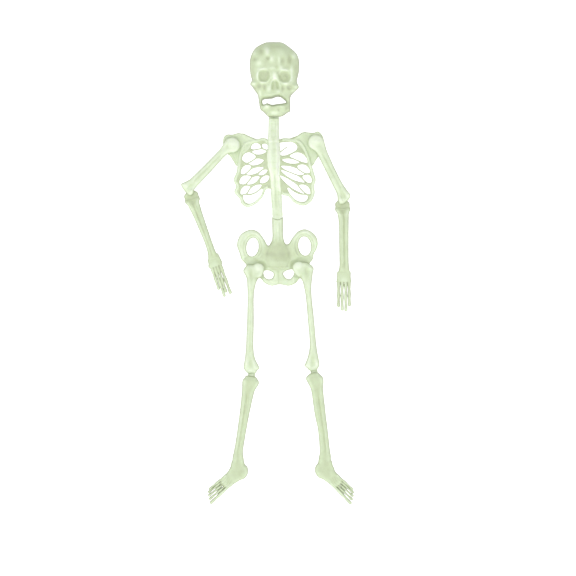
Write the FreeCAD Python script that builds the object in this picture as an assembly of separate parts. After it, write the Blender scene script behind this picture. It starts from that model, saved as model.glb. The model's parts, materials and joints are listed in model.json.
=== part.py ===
import FreeCAD, Part
import math
import os
from FreeCAD import Vector

# Flat jointed halloween skeleton, moulded as open-backed relief shells and
# joined by ten snap rivets. Millimetres. +Z up, the front faces -Y, and the
# figure's own right side is at -X. The origin is the hanging hole.

os.makedirs("parts", exist_ok=True)

# ---------------------------------------------------------------- layers (y)
BACK = 0.0            # rim plane of torso, pelvis, forearms and skull
LIMB_BACK = -4.4      # rim plane of upper arms, thighs and shins
PLATE_FRONT = -4.0    # front of every lap plate
PLATE_BACK = -2.0     # back of every lap plate
WALL = 1.8            # moulded wall of the limbs
SKULL_WALL = 2.0

# ------------------------------------------------------------------- rivets
SHANK_R = 2.0
BORE_R = 2.08         # running clearance 0.08 mm in every lap plate
RIVET_HEAD_R = 4.4
RIVET_HEAD_BACK = -0.2
RIVET_HEAD_FRONT = -1.8
RIVET_TIP = -10.6
RIVET_TIP_WAIST = -9.2
RIVET_TIP_ELBOW = -9.4
BORE_EXTRA = 0.6      # blind bores run on past the rivet tip
POST_R = 3.9
POST_END = -4.4       # post face that keeps the lap plate in place
POCKET_R = 6.0        # room for a rivet head behind a lap plate

# ------------------------------------------------------------ pivots (x, z)
NECK = (0.0, -126.0)
WAIST = (7.0, -325.0)
SHOULDER_R = (-81.0, -191.0)
SHOULDER_L = (81.0, -186.0)
ELBOW_R = (-162.7, -282.5)
ELBOW_L = (132.4, -299.4)
HIP_R = (-31.0, -432.0)
HIP_L = (48.0, -429.0)
KNEE_R = (-44.0, -650.5)
KNEE_L = (82.0, -647.5)
WRIST_R = (-122.5, -412.0)
WRIST_L = (136.1, -433.5)
ANKLE_R = (-68.0, -793.0)
ANKLE_L = (98.4, -787.5)

# hanging eyelet behind the crown
HANG_R = 2.0
HANG_PLATE = 2.4

# planes well clear of the body, for cuts that go right through
AHEAD = -45.0
BEHIND = 5.0
# circles swept by a neighbour's plate or post about a pivot
NECK_SWEEP_R = 27.0
WAIST_SWEEP_R = 16.0
WAIST_NOTCH_R = 11.4
HIP_BALL_SWEEP_R = 16.5
HIP_RING_SWEEP_R = 31.0

X_AXIS = Vector(1, 0, 0)
Y_AXIS = Vector(0, 1, 0)


# ------------------------------------------------------------------ helpers
def rod(x, z, y0, y1, radius):
    """Cylinder along Y between y0 and y1."""
    low = min(y0, y1)
    return Part.makeCylinder(radius, abs(y1 - y0), Vector(x, low, z), Y_AXIS)


def curve(points, closed=False):
    """Smooth curve through (x, z) points in the plane y = 0."""
    spline = Part.BSplineCurve()
    spline.interpolate(
        Points=[Vector(x, 0, z) for x, z in points],
        PeriodicFlag=closed,
    )
    return spline.toShape()


def slab(wire, y_front, y_back):
    """Prism of a closed wire drawn at y = 0."""
    face = Part.Face(wire)
    face.translate(Vector(0, y_front, 0))
    return face.extrude(Vector(0, y_back - y_front, 0))


def blob(points, y_front, y_back):
    return slab(Part.Wire([curve(points, True)]), y_front, y_back)


def leaf_wire(x0, z0, x1, z1, rise, fall):
    """Slot between two arcs that meet at two points."""
    a = Vector(x0, 0, z0)
    b = Vector(x1, 0, z1)
    mid = (a + b) * 0.5
    normal = (b - a).cross(Y_AXIS)
    normal.normalize()
    if normal.z < 0:
        normal = normal * -1
    up = Part.Arc(a, mid + normal * rise, b).toShape()
    down = Part.Arc(b, mid - normal * fall, a).toShape()
    return Part.Wire([up, down])


def oval(cx, cz, rx, rz, tilt_deg, y_front, y_back):
    """Elliptical prism; tilt leans its top towards +X."""
    tilt = math.radians(tilt_deg)
    long_dir = Vector(math.sin(tilt), 0, math.cos(tilt))
    side_dir = Vector(math.cos(tilt), 0, -math.sin(tilt))
    centre = Vector(cx, 0, cz)
    if rz >= rx:
        ellipse = Part.Ellipse(centre + long_dir * rz, centre + side_dir * rx, centre)
    else:
        ellipse = Part.Ellipse(centre + side_dir * rx, centre + long_dir * rz, centre)
    return slab(Part.Wire([ellipse.toShape()]), y_front, y_back)


def arch(t0, t1, depth, y_back, skirt, height, fullness=0.8):
    """Half-round section from t0 to t1 at one height, open line at the back."""
    centre = (t0 + t1) / 2
    half = (t1 - t0) / 2
    points = []
    for k in range(9):
        a = math.pi * k / 8
        side = -math.copysign(abs(math.cos(a)) ** fullness, math.cos(a))
        rise = abs(math.sin(a)) ** fullness
        points.append(Vector(centre + half * side, y_back - depth * rise, height))
    spline = Part.BSplineCurve()
    spline.interpolate(Points=points)
    edges = [spline.toShape()]
    if skirt > 0:
        right = Vector(t1, y_back + skirt, height)
        left = Vector(t0, y_back + skirt, height)
        edges.append(Part.makeLine(points[-1], right))
        edges.append(Part.makeLine(right, left))
        edges.append(Part.makeLine(left, points[0]))
    else:
        edges.append(Part.makeLine(points[-1], points[0]))
    return Part.Wire(edges)


def bone(stations, y_back):
    """Relief body lofted down a limb; stations are (s, t0, t1, depth)."""
    wires = [arch(t0, t1, d, y_back, 0, -s) for s, t0, t1, d in stations]
    return Part.makeLoft(wires, True)


def hollow(stations, y_back, wall, first_wall=None):
    """The cavity that belongs to bone(), open at the back."""
    wires = []
    last = len(stations) - 1
    for i, (s, t0, t1, d) in enumerate(stations):
        shift = 0
        if i == 0:
            shift = wall if first_wall is None else first_wall
        if i == last:
            shift = -wall
        wires.append(arch(t0 + wall, t1 - wall, d - wall, y_back, 0.5, -(s + shift)))
    return Part.makeLoft(wires, True)


def dome(x, z, radius, y_front, y_back, edge):
    """Disc with a rounded front edge."""
    disc = rod(x, z, y_front, y_back, radius)
    front = []
    for e in disc.Edges:
        if abs(e.BoundBox.YMin - y_front) < 0.01 and e.BoundBox.YLength < 0.01:
            front.append(e)
    return disc.makeFillet(edge, front)


def finger(x0, z0, x1, z1, r0, r1, y_front, y_back):
    """Tapered round-ended bar from one point to another."""
    length = math.hypot(x1 - x0, z1 - z0)
    ux = (x1 - x0) / length
    uz = (z1 - z0) / length
    sin_a = (r0 - r1) / length
    cos_a = math.sqrt(1 - sin_a ** 2)
    ends = []
    for side in (-1, 1):
        nx = ux * sin_a - side * uz * cos_a
        nz = uz * sin_a + side * ux * cos_a
        start = Vector(x0 + nx * r0, 0, z0 + nz * r0)
        end = Vector(x1 + nx * r1, 0, z1 + nz * r1)
        ends.append((start, end))
    root = Vector(x0 - ux * r0, 0, z0 - uz * r0)
    tip = Vector(x1 + ux * r1, 0, z1 + uz * r1)
    wire = Part.Wire([
        Part.makeLine(ends[0][0], ends[0][1]),
        Part.Arc(ends[0][1], tip, ends[1][1]).toShape(),
        Part.makeLine(ends[1][1], ends[1][0]),
        Part.Arc(ends[1][0], root, ends[0][0]).toShape(),
    ])
    return slab(wire, y_front, y_back)


def plate_bore(body, x, z, pocket=True):
    """Running bore of a lap plate, with room for the rivet head behind it."""
    body = body.cut(rod(x, z, BEHIND, -8.0, BORE_R))
    if pocket:
        body = body.cut(rod(x, z, BEHIND, PLATE_BACK, POCKET_R))
    return body


def post_bore(body, x, z, tip=RIVET_TIP):
    """Blind bore that grips a rivet shank in a post."""
    return body.cut(rod(x, z, 0.0, tip - BORE_EXTRA, SHANK_R))


def to_limb(shape, pivot, end, mirrored):
    """Turn a limb drawn down -Z, with +X outward, onto pivot -> end."""
    if mirrored:
        shape = shape.mirror(Vector(0, 0, 0), X_AXIS)
    swing = math.degrees(math.atan2(end[0] - pivot[0], pivot[1] - end[1]))
    placed = shape.copy()
    placed.rotate(Vector(0, 0, 0), Y_AXIS, -swing)
    placed.translate(Vector(pivot[0], 0, pivot[1]))
    return placed


def joined(body, others):
    """Fuse pieces one after another and merge split faces."""
    for piece in others:
        body = body.fuse(piece)
    refined = body.copy().removeSplitter()
    if refined.isValid():
        return refined
    return body


def carved(body, tools):
    for tool in tools:
        body = body.cut(tool)
    return body


def save(shape, name):
    if shape.ShapeType == "Compound" and len(shape.Solids) == 1:
        shape = shape.Solids[0]
    print(name, "solids", len(shape.Solids), "faces", len(shape.Faces),
          "valid", shape.isValid(), "volume %.0f" % shape.Volume)
    shape.exportStep("parts/" + name + ".step")


# -------------------------------------------------------------------- skull
# (distance below the hole, left edge, right edge, depth)
SKULL_STATIONS = [
    (-8.6, -16.0, 16.0, 5.0),
    (-5.0, -27.0, 24.0, 12.0),
    (2.0, -36.0, 31.0, 19.0),
    (14.0, -43.0, 44.0, 26.0),
    (30.0, -47.0, 49.0, 31.0),
    (46.0, -46.7, 49.0, 32.0),
    (59.0, -44.7, 46.0, 31.0),
    (66.0, -43.0, 45.0, 30.0),
    (75.0, -43.5, 47.0, 29.0),
    (86.0, -37.5, 42.0, 27.0),
    (96.0, -31.2, 34.0, 26.0),
    (110.0, -29.3, 31.7, 25.0),
    (122.0, -26.8, 31.0, 22.0),
    (130.0, -18.5, 24.0, 18.0),
    (136.4, -11.0, 13.0, 11.0),
]
EYE_R = (-19.5, -58.5)
EYE_L = (20.2, -59.5)
EYE_FRONT_R = 10.0
EYE_FLOOR_R = 7.0
EYE_DEPTH = 10.0
FACE_Y = -33.0


def eye_cup(x, z, grow):
    reach = EYE_DEPTH + 6 + grow
    floor_r = EYE_FLOOR_R + grow
    front_r = EYE_FRONT_R + 2 + grow
    return Part.makeCone(front_r, floor_r, reach, Vector(x, FACE_Y - 2, z), Y_AXIS)


def make_skull():
    outer = bone(SKULL_STATIONS, BACK)
    inner = hollow(SKULL_STATIONS, BACK, SKULL_WALL)
    shell = outer.cut(inner)
    bumps = [
        Part.makeSphere(6.5, Vector(-40.5, -7.5, -72.5)),
        Part.makeSphere(7.0, Vector(43.0, -8.0, -79.0)),
    ]
    cups = [eye_cup(x, z, 1.8).common(outer) for x, z in (EYE_R, EYE_L)]
    post = rod(NECK[0], NECK[1], POST_END, -17.0, POST_R)
    # eyelet plate bridging the hollow just under the crown
    eyelet = Part.makeBox(40, HANG_PLATE, 12, Vector(-20, BACK - HANG_PLATE, -5.5))
    shell = joined(shell, bumps + cups + [post, eyelet.common(outer)])
    for x, z in (EYE_R, EYE_L):
        shell = shell.cut(eye_cup(x, z, 0.0))
    # nasal opening and its two grooves
    nose = blob([(2.6, -62.0), (7.0, -72.0), (7.6, -80.0), (-3.4, -80.0), (-2.6, -71.0)],
                -40.0, -24.5)
    shell = shell.cut(nose)
    # open mouth, right through the moulding
    mouth = blob([(-23.0, -98.0), (-12.0, -100.0), (6.0, -95.6), (16.0, -98.0),
                  (25.4, -108.6), (12.0, -111.0), (-6.0, -113.4), (-11.0, -111.5),
                  (-22.6, -108.6)], AHEAD, BEHIND)
    shell = shell.cut(mouth)
    # room for the neck plate: the chin rim is set back around the pivot
    lap = rod(NECK[0], NECK[1], POST_END, BEHIND, NECK_SWEEP_R)
    below_mouth = Part.makeBox(80, 20, 30, Vector(-40, -10, -145.5))
    shell = shell.cut(lap.common(below_mouth))
    shell = post_bore(shell, NECK[0], NECK[1])
    return shell.cut(rod(0, 0, BEHIND, BACK - HANG_PLATE - 1.0, HANG_R))


# -------------------------------------------------------------------- torso
RIB_BALL_R = 240.0
RIB_WALL = 4.0
RIB_DEPTH = 20.0
RIB_CENTRE = (2.0, -248.0)
SPINE_STATIONS = [
    (139.6, -10.4, 9.6, 8.8),
    (160.0, -11.0, 9.8, 11.0),
    (182.0, -11.6, 10.6, 17.0),
    (212.0, -13.6, 12.6, 22.5),
    (232.0, -12.6, 12.0, 23.0),
    (246.0, -8.0, 11.6, 22.0),
    (268.0, -6.6, 13.0, 17.0),
    (290.0, -5.6, 15.0, 13.0),
    (313.0, -4.4, 16.4, 11.0),
    (325.0, -3.7, 17.7, 10.6),
]
RIB_EDGE_R = [
    (-12.0, -181.0), (-37.0, -180.0), (-58.0, -186.0), (-68.0, -205.0),
    (-71.0, -232.0), (-73.0, -244.0), (-78.6, -258.6), (-73.6, -271.0),
    (-77.2, -282.0), (-67.0, -295.0), (-62.6, -305.6), (-50.0, -311.6),
    (-34.0, -304.0), (-21.4, -291.0), (-14.0, -277.0), (2.0, -272.0),
    (4.0, -230.0),
]
RIB_EDGE_L = [
    (10.0, -182.0), (38.0, -179.0), (54.0, -184.0), (66.0, -205.0),
    (73.0, -229.0), (78.0, -246.0), (81.2, -258.6), (78.0, -271.0),
    (79.0, -285.0), (72.0, -300.5), (58.0, -308.4), (41.0, -304.0),
    (28.4, -291.5), (15.0, -287.0), (6.0, -270.0), (0.0, -230.0),
]
# slots: end, other end, rise above and fall below the line between them
SLOTS_R = [
    (-43.5, -197.0, -26.5, -196.6, 8.4, 2.0),
    (-22.4, -191.0, -12.0, -198.4, 4.4, 3.2),
    (-42.0, -205.0, -16.0, -203.4, 4.0, 4.2),
    (-61.0, -218.0, -36.6, -214.0, 9.4, 8.6),
    (-49.4, -227.6, -21.0, -221.6, 5.4, 4.4),
    (-63.0, -246.0, -46.4, -231.0, 5.6, 5.6),
    (-53.4, -247.6, -21.6, -236.0, 4.4, 4.0),
    (-28.8, -248.4, -13.6, -240.6, 3.0, 3.2),
    (-66.0, -264.6, -45.6, -253.0, 7.0, 6.0),
    (-52.4, -266.4, -29.0, -253.4, 4.2, 4.4),
    (-26.0, -264.0, -10.0, -252.6, 5.0, 4.4),
    (-63.6, -285.6, -47.6, -272.4, 6.4, 4.6),
    (-51.0, -284.6, -25.0, -269.4, 4.4, 4.8),
]
SLOTS_L = [
    (32.0, -213.0, 63.6, -224.6, 11.4, 1.4),
    (17.6, -220.6, 47.6, -224.6, 3.4, 3.4),
    (46.6, -233.0, 68.4, -243.6, 7.4, 5.0),
    (15.4, -233.0, 59.4, -248.0, 4.4, 5.0),
    (15.4, -241.6, 58.0, -262.6, 4.0, 4.4),
    (56.4, -251.0, 71.4, -263.0, 7.0, 4.0),
    (13.0, -252.0, 59.0, -285.0, 3.6, 4.4),
    (49.6, -270.4, 69.4, -285.0, 7.0, 4.0),
]
LOOP_R = [(-58.6, -289.0), (-46.0, -289.6), (-34.0, -284.6), (-23.4, -277.6),
          (-26.6, -288.6), (-37.0, -299.0), (-48.0, -303.4), (-56.0, -299.6)]
LOOP_L = [(27.4, -275.4), (39.0, -283.6), (51.0, -288.6), (63.6, -288.6),
          (63.0, -296.0), (56.0, -300.0), (44.0, -297.0), (33.4, -287.0)]
TOP_L = [(12.6, -188.0), (28.0, -185.6), (40.0, -189.0), (43.6, -197.6),
         (32.0, -206.4), (13.6, -209.6)]
SCAPULA_R = [(-36.9, -180.2), (-52.5, -171.8), (-68.0, -167.6), (-80.5, -170.4),
             (-91.4, -170.6), (-98.0, -177.0), (-98.6, -192.0), (-93.0, -205.0),
             (-84.4, -213.4), (-78.4, -223.0), (-72.6, -231.0), (-65.4, -227.0),
             (-61.6, -212.0), (-50.0, -202.0), (-43.0, -192.0)]
SCAPULA_L = [(38.0, -179.4), (48.0, -171.0), (57.0, -165.8), (76.6, -166.8),
             (86.0, -164.4), (94.6, -173.6), (97.0, -186.0), (94.0, -199.0),
             (86.4, -212.6), (80.4, -222.0), (74.4, -231.0), (67.0, -225.0),
             (61.6, -210.0), (52.0, -197.0), (45.0, -187.0)]


def make_torso():
    ball_y = RIB_BALL_R - RIB_DEPTH
    centre = Vector(RIB_CENTRE[0], ball_y, RIB_CENTRE[1])
    sheet = Part.makeSphere(RIB_BALL_R, centre)
    sheet = sheet.cut(Part.makeSphere(RIB_BALL_R - RIB_WALL, centre))
    ribs = []
    for edge in (RIB_EDGE_R, RIB_EDGE_L):
        ribs.append(blob(edge, -RIB_DEPTH - 2, BACK).common(sheet))
    lattice = ribs[0].fuse(ribs[1])
    cutters = []
    for x0, z0, x1, z1, rise, fall in SLOTS_R + SLOTS_L:
        cutters.append(slab(leaf_wire(x0, z0, x1, z1, rise, fall), AHEAD, BEHIND))
    for loop in (LOOP_R, LOOP_L, TOP_L):
        cutters.append(blob(loop, AHEAD, BEHIND))
    lattice = carved(lattice, cutters)
    channel = hollow(SPINE_STATIONS, BACK, WALL + 0.4, 9.4)
    lattice = lattice.cut(channel)
    spine = bone(SPINE_STATIONS, BACK)
    spine = spine.fuse(dome(WAIST[0], WAIST[1], 10.7, -10.6, BACK, 5.0))
    spine = spine.cut(channel)
    # the waist end is set back so that the pelvis plate passes behind it
    spine = spine.cut(rod(WAIST[0], WAIST[1], POST_END, BEHIND, WAIST_SWEEP_R))
    neck_plate = finger(NECK[0], NECK[1], -0.4, -150.0, 8.0, 8.6, PLATE_FRONT, PLATE_BACK)
    web = Part.makeBox(17.6, 3.8, 5, Vector(-9.4, -5.8, -149.2))
    waist_post = rod(WAIST[0], WAIST[1], POST_END, -9.0, POST_R)
    spine = joined(spine, [neck_plate, web, waist_post])
    scapulae = [blob(SCAPULA_R, PLATE_FRONT, BACK), blob(SCAPULA_L, PLATE_FRONT, BACK)]
    body = joined(spine, [lattice] + scapulae)
    body = plate_bore(body, NECK[0], NECK[1], pocket=False)
    body = post_bore(body, WAIST[0], WAIST[1], RIVET_TIP_WAIST)
    for x, z in (SHOULDER_R, SHOULDER_L):
        body = plate_bore(body, x, z)
    return body


# ------------------------------------------------------------------- pelvis
PELVIS_EDGE = [
    (-3.2, -350.0), (-3.0, -370.0), (-7.0, -382.0), (-12.4, -385.6),
    (-20.0, -373.0), (-30.0, -360.4), (-44.0, -355.0), (-60.0, -361.0),
    (-69.0, -372.0), (-71.6, -387.0), (-66.4, -402.0), (-63.6, -412.0),
    (-54.6, -422.6), (-48.0, -434.0), (-40.0, -445.0), (-26.4, -449.6),
    (-18.0, -458.6), (-5.0, -464.0), (10.6, -461.4), (28.6, -464.0),
    (42.0, -459.0), (48.6, -451.0), (58.0, -443.0), (66.0, -431.0),
    (69.4, -420.6), (75.6, -412.0), (77.0, -403.0), (84.0, -389.0),
    (84.0, -374.0), (76.0, -362.0), (61.0, -354.6), (47.0, -358.6),
    (36.0, -371.0), (28.6, -382.4), (22.0, -382.0), (18.0, -370.0),
    (17.6, -350.0),
]
PELVIS_SPINE = [
    (331.0, -3.8, 17.8, 10.6),
    (352.0, -3.4, 17.6, 10.6),
    (368.0, -2.6, 18.0, 10.6),
    (380.0, -8.0, 23.0, 10.4),
    (394.0, -18.0, 36.0, 9.8),
    (412.0, -21.0, 43.0, 9.4),
    (424.0, -15.0, 31.0, 8.0),
    (434.0, -8.0, 24.0, 6.0),
]
RING_R = (-41.8, -389.0, 11.8, 18.2, 8.0)
RING_L = (59.6, -387.0, 12.4, 18.6, -6.0)
OBTURATOR_R = [(-20.0, -436.0), (-10.0, -434.6), (-0.8, -440.0), (-3.0, -448.6),
               (-11.0, -451.6), (-18.6, -446.0)]
OBTURATOR_L = [(18.0, -439.4), (28.0, -433.4), (38.6, -433.6), (38.0, -443.0),
               (31.0, -451.0), (22.4, -448.6)]


def make_pelvis():
    plate = slab(Part.Wire([curve(PELVIS_EDGE, True)]), PLATE_FRONT, BACK)
    ridges = []
    for cx, cz, rx, rz, tilt in (RING_R, RING_L):
        ridge = oval(cx, cz, rx + 12.0, rz + 11.0, tilt, -7.0, PLATE_FRONT)
        ridges.append(ridge.common(slab(Part.Wire([curve(PELVIS_EDGE, True)]), -9.0, 0.0)))
    for x, z in (HIP_R, HIP_L):
        ridges = [r.cut(rod(x, z, -12.0, PLATE_FRONT, HIP_RING_SWEEP_R)) for r in ridges]
    spine = bone(PELVIS_SPINE, BACK)
    spine = spine.cut(rod(WAIST[0], WAIST[1], AHEAD, BEHIND, WAIST_NOTCH_R))
    for x, z in (HIP_R, HIP_L):
        spine = spine.cut(rod(x, z, -12.0, PLATE_FRONT, HIP_BALL_SWEEP_R))
    body = joined(plate, ridges + [spine])
    holes = []
    for cx, cz, rx, rz, tilt in (RING_R, RING_L):
        holes.append(oval(cx, cz, rx, rz, tilt, AHEAD, BEHIND))
    for edge in (OBTURATOR_R, OBTURATOR_L):
        holes.append(blob(edge, AHEAD, BEHIND))
    body = carved(body, holes)
    body = body.cut(hollow(PELVIS_SPINE, BACK, WALL + 0.4, 15.6))
    lap = finger(WAIST[0], WAIST[1], 7.0, -352.0, 8.0, 8.4, PLATE_FRONT, PLATE_BACK)
    web = Part.makeBox(17, 3.8, 7, Vector(-1.5, -5.8, -350.0))
    body = joined(body, [lap, web])
    body = plate_bore(body, WAIST[0], WAIST[1], pocket=False)
    for x, z in (HIP_R, HIP_L):
        body = plate_bore(body, x, z)
    return body


# --------------------------------------------------------------- upper arms
ARM_STATIONS_R = [
    (4.0, -9.0, 13.0, 9.6),
    (24.0, -4.0, 12.4, 9.6),
    (60.0, -3.4, 13.8, 9.6),
    (92.0, -2.6, 15.8, 9.6),
    (108.0, -2.0, 18.0, 9.4),
    (118.0, -4.0, 21.4, 8.6),
    (124.5, -5.6, 20.0, 7.4),
]
ARM_STATIONS_L = [
    (4.0, -10.0, 14.0, 9.6),
    (24.0, -6.6, 13.0, 9.6),
    (60.0, -5.2, 12.8, 9.6),
    (90.0, -4.2, 14.0, 9.6),
    (106.0, -4.0, 16.4, 9.4),
    (117.0, -6.6, 18.8, 8.6),
    (126.0, -6.6, 16.0, 7.4),
]
HEAD_R = 15.4
HEAD_FRONT = -15.4


def make_upper_arm(stations, shoulder, elbow):
    length = math.hypot(elbow[0] - shoulder[0], elbow[1] - shoulder[1])
    shaft = bone(stations, LIMB_BACK)
    head = dome(0, 0, HEAD_R, HEAD_FRONT, LIMB_BACK, 7.0)
    knuckle = dome(0, -length, 6.6, LIMB_BACK - 7.4, LIMB_BACK, 3.0)
    body = joined(shaft, [head, knuckle])
    body = body.cut(hollow(stations, LIMB_BACK, WALL, 0.0))
    body = body.cut(rod(0, 0, LIMB_BACK + 1.0, HEAD_FRONT + WALL + 1.2, HEAD_R - WALL))
    posts = [
        rod(0, 0, POST_END, -13.0, POST_R),
        rod(0, -length, POST_END, LIMB_BACK - 6.4, POST_R + 0.6),
    ]
    body = joined(body, posts)
    body = post_bore(body, 0, 0)
    body = post_bore(body, 0, -length)
    return to_limb(body, shoulder, elbow, shoulder[0] < 0)


# ------------------------------------------------------- forearms and hands
FOREARM_STATIONS_R = [
    (17.0, -11.4, 12.4, 4.6),
    (26.0, -10.8, 11.6, 9.8),
    (50.0, -10.4, 7.8, 10.6),
    (80.0, -11.2, 4.6, 9.8),
    (104.0, -11.8, 2.2, 8.8),
    (122.0, -12.8, 2.6, 7.4),
    (132.0, -13.4, 4.4, 5.4),
    (140.0, -15.0, 6.4, 4.0),
    (150.0, -17.4, 8.2, 4.0),
]
FOREARM_STATIONS_L = [
    (17.0, -11.6, 13.0, 4.6),
    (26.0, -9.6, 12.4, 9.8),
    (45.0, -7.6, 11.4, 10.6),
    (80.0, -8.0, 10.2, 9.8),
    (110.0, -8.2, 9.4, 8.4),
    (126.0, -8.6, 9.4, 6.6),
    (140.0, -12.0, 11.2, 4.0),
    (152.0, -14.6, 13.0, 4.0),
]
ELBOW_PLATE = [(0.0, 7.6), (8.6, 4.8), (13.6, -3.0), (13.6, -12.0), (12.4, -19.0),
               (-11.4, -19.0), (-13.0, -12.0), (-12.8, -3.0), (-8.4, 4.8)]
# finger: (root s, root t, tip s, tip t, root radius, tip radius)
HAND_R = [
    (146.0, 4.6, 192.0, 2.4, 3.3, 2.6),
    (146.0, -1.0, 208.0, -3.0, 3.3, 2.6),
    (146.0, -6.4, 200.0, -7.8, 3.0, 2.4),
    (146.0, -12.8, 206.0, -17.6, 3.6, 2.6),
    (136.0, -13.0, 148.0, -16.4, 4.0, 3.2),
]
HAND_L = [
    (148.0, -11.4, 196.0, -12.8, 3.1, 2.5),
    (148.0, -4.2, 204.0, -5.0, 3.1, 2.5),
    (148.0, 3.0, 208.0, 1.8, 3.1, 2.5),
    (148.0, 9.8, 196.0, 8.2, 3.1, 2.5),
]
FINGER_FRONT = -4.0


def make_forearm(stations, fingers, elbow, wrist):
    shaft = bone(stations, BACK)
    plate = blob(ELBOW_PLATE, PLATE_FRONT, BACK)
    bars = []
    for s0, t0, s1, t1, r0, r1 in fingers:
        bars.append(finger(t0, -s0, t1, -s1, r0, r1, FINGER_FRONT, BACK))
    body = joined(shaft, [plate] + bars)
    body = body.cut(hollow(stations, BACK, WALL, 3.0))
    body = plate_bore(body, 0, 0)
    return to_limb(body, elbow, wrist, elbow[0] < 0)


# ------------------------------------------------------------------- thighs
THIGH_STATIONS_R = [
    (-6.0, -8.0, 23.0, 9.0),
    (5.0, -9.0, 28.0, 10.4),
    (20.0, -1.0, 21.0, 10.6),
    (38.0, 4.2, 18.2, 10.2),
    (58.0, 5.0, 16.6, 10.0),
    (100.0, 2.2, 15.2, 10.0),
    (150.0, 0.2, 14.4, 10.0),
    (176.0, -5.0, 15.4, 10.0),
    (190.0, -14.0, 16.4, 9.0),
    (196.0, -10.4, 15.0, 8.0),
    (203.0, -5.4, 7.0, 6.0),
]
THIGH_STATIONS_L = [
    (-6.0, -7.0, 20.0, 9.0),
    (6.0, -7.6, 28.0, 10.4),
    (22.0, 1.0, 23.4, 10.6),
    (38.0, 4.0, 19.0, 10.2),
    (60.0, 4.6, 16.2, 10.0),
    (104.0, 2.0, 13.8, 10.0),
    (150.0, -1.6, 10.8, 10.0),
    (176.0, -10.0, 11.0, 10.0),
    (190.0, -18.2, 11.0, 9.0),
    (195.0, -14.0, 9.4, 8.0),
    (201.0, -8.6, 3.4, 6.0),
]
HIP_HEAD_R = 13.0


def make_thigh(stations, hip, knee):
    length = math.hypot(knee[0] - hip[0], knee[1] - hip[1])
    shaft = bone(stations, LIMB_BACK)
    head = dome(0, 0, HIP_HEAD_R, -15.2, LIMB_BACK, 6.0)
    body = joined(shaft, [head])
    body = body.cut(hollow(stations, LIMB_BACK, WALL, 4.0))
    body = body.cut(rod(0, 0, LIMB_BACK + 1.0, -12.4, HIP_HEAD_R - WALL))
    end = stations[-1]
    mid = (end[1] + end[2]) / 2
    tongue = finger(mid, -(end[0] - 8.0), 0, -length, 5.8, 7.0, PLATE_FRONT, PLATE_BACK)
    gusset = finger(mid, -(end[0] - 8.0), mid, -(end[0] - 4.0), 5.0, 4.6, -6.4, PLATE_BACK)
    post = rod(0, 0, POST_END, -13.4, POST_R)
    body = joined(body, [tongue, gusset, post])
    body = plate_bore(body, 0, -length, pocket=False)
    body = post_bore(body, 0, 0)
    return to_limb(body, hip, knee, hip[0] < 0)


# ---------------------------------------------------------- shins with feet
SHIN_STATIONS_R = [
    (-8.0, -8.0, 12.4, 8.6),
    (0.0, -14.2, 17.0, 10.2),
    (12.0, -12.4, 16.4, 10.2),
    (34.0, -8.0, 14.0, 10.0),
    (70.0, -6.4, 12.0, 9.8),
    (110.0, -6.0, 10.8, 9.6),
    (136.0, -6.6, 10.8, 9.4),
    (152.0, -10.6, 11.4, 9.2),
    (166.0, -15.0, 10.6, 8.8),
]
SHIN_STATIONS_L = [
    (-12.0, -12.0, 6.4, 8.6),
    (-2.0, -18.0, 13.6, 10.2),
    (10.0, -14.4, 12.6, 10.2),
    (24.0, -11.8, 11.0, 10.0),
    (66.0, -10.6, 10.7, 9.8),
    (98.0, -7.8, 10.8, 9.6),
    (136.0, -9.2, 10.6, 9.4),
    (149.0, -12.0, 11.0, 9.2),
    (164.0, -16.0, 10.6, 8.8),
]
FOOT_EDGE = [(9.6, -160.0), (14.0, -176.0), (20.6, -188.0), (30.0, -200.0),
             (38.0, -214.0), (32.0, -228.0), (22.0, -222.0), (7.0, -209.0),
             (0.0, -199.0), (-10.0, -191.0), (-18.6, -186.0), (-22.8, -174.0),
             (-16.0, -162.0)]
TOES = [
    (28.0, -200.0, 44.6, -218.6, 2.4, 1.9),
    (27.0, -205.0, 45.0, -224.6, 2.4, 1.9),
    (24.0, -208.0, 43.6, -230.6, 2.4, 1.9),
    (20.0, -210.0, 41.4, -236.6, 2.6, 2.0),
    (14.0, -210.0, 37.6, -243.6, 3.4, 2.6),
]


def make_shin(stations, knee, ankle):
    shaft = bone(stations, LIMB_BACK)
    foot = blob(FOOT_EDGE, LIMB_BACK - 7.0, LIMB_BACK)
    cap = dome(0, 0, 8.6, -16.0, LIMB_BACK - 4, 1.2)
    toes = []
    for x0, z0, x1, z1, r0, r1 in TOES:
        toes.append(finger(x0, z0, x1, z1, r0, r1, LIMB_BACK - 5.6, LIMB_BACK))
    body = joined(shaft, [foot, cap] + toes)
    body = body.cut(hollow(stations, LIMB_BACK, WALL, 2.6))
    pocket = blob([(8.0, -164.0), (14.0, -180.0), (24.0, -196.0), (18.0, -206.0),
                   (4.0, -199.0), (-8.0, -188.0), (-19.0, -182.0), (-14.0, -166.0)],
                  LIMB_BACK - 5.0, LIMB_BACK + 1.0)
    body = body.cut(pocket)
    body = joined(body, [rod(0, 0, POST_END, -13.4, POST_R)])
    body = post_bore(body, 0, 0)
    return to_limb(body, knee, ankle, knee[0] < 0)


# ------------------------------------------------------------------- rivets
def make_rivet(x, z, tip):
    head = rod(x, z, RIVET_HEAD_FRONT, RIVET_HEAD_BACK, RIVET_HEAD_R)
    rim = []
    for e in head.Edges:
        if abs(e.BoundBox.YMax - RIVET_HEAD_BACK) < 0.01 and e.BoundBox.YLength < 0.01:
            rim.append(e)
    head = head.makeFillet(0.8, rim)
    lead = Part.makeCone(SHANK_R - 0.6, SHANK_R, 0.8, Vector(x, tip, z), Y_AXIS)
    return joined(head, [rod(x, z, RIVET_HEAD_FRONT, tip + 0.8, SHANK_R), lead])


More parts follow.
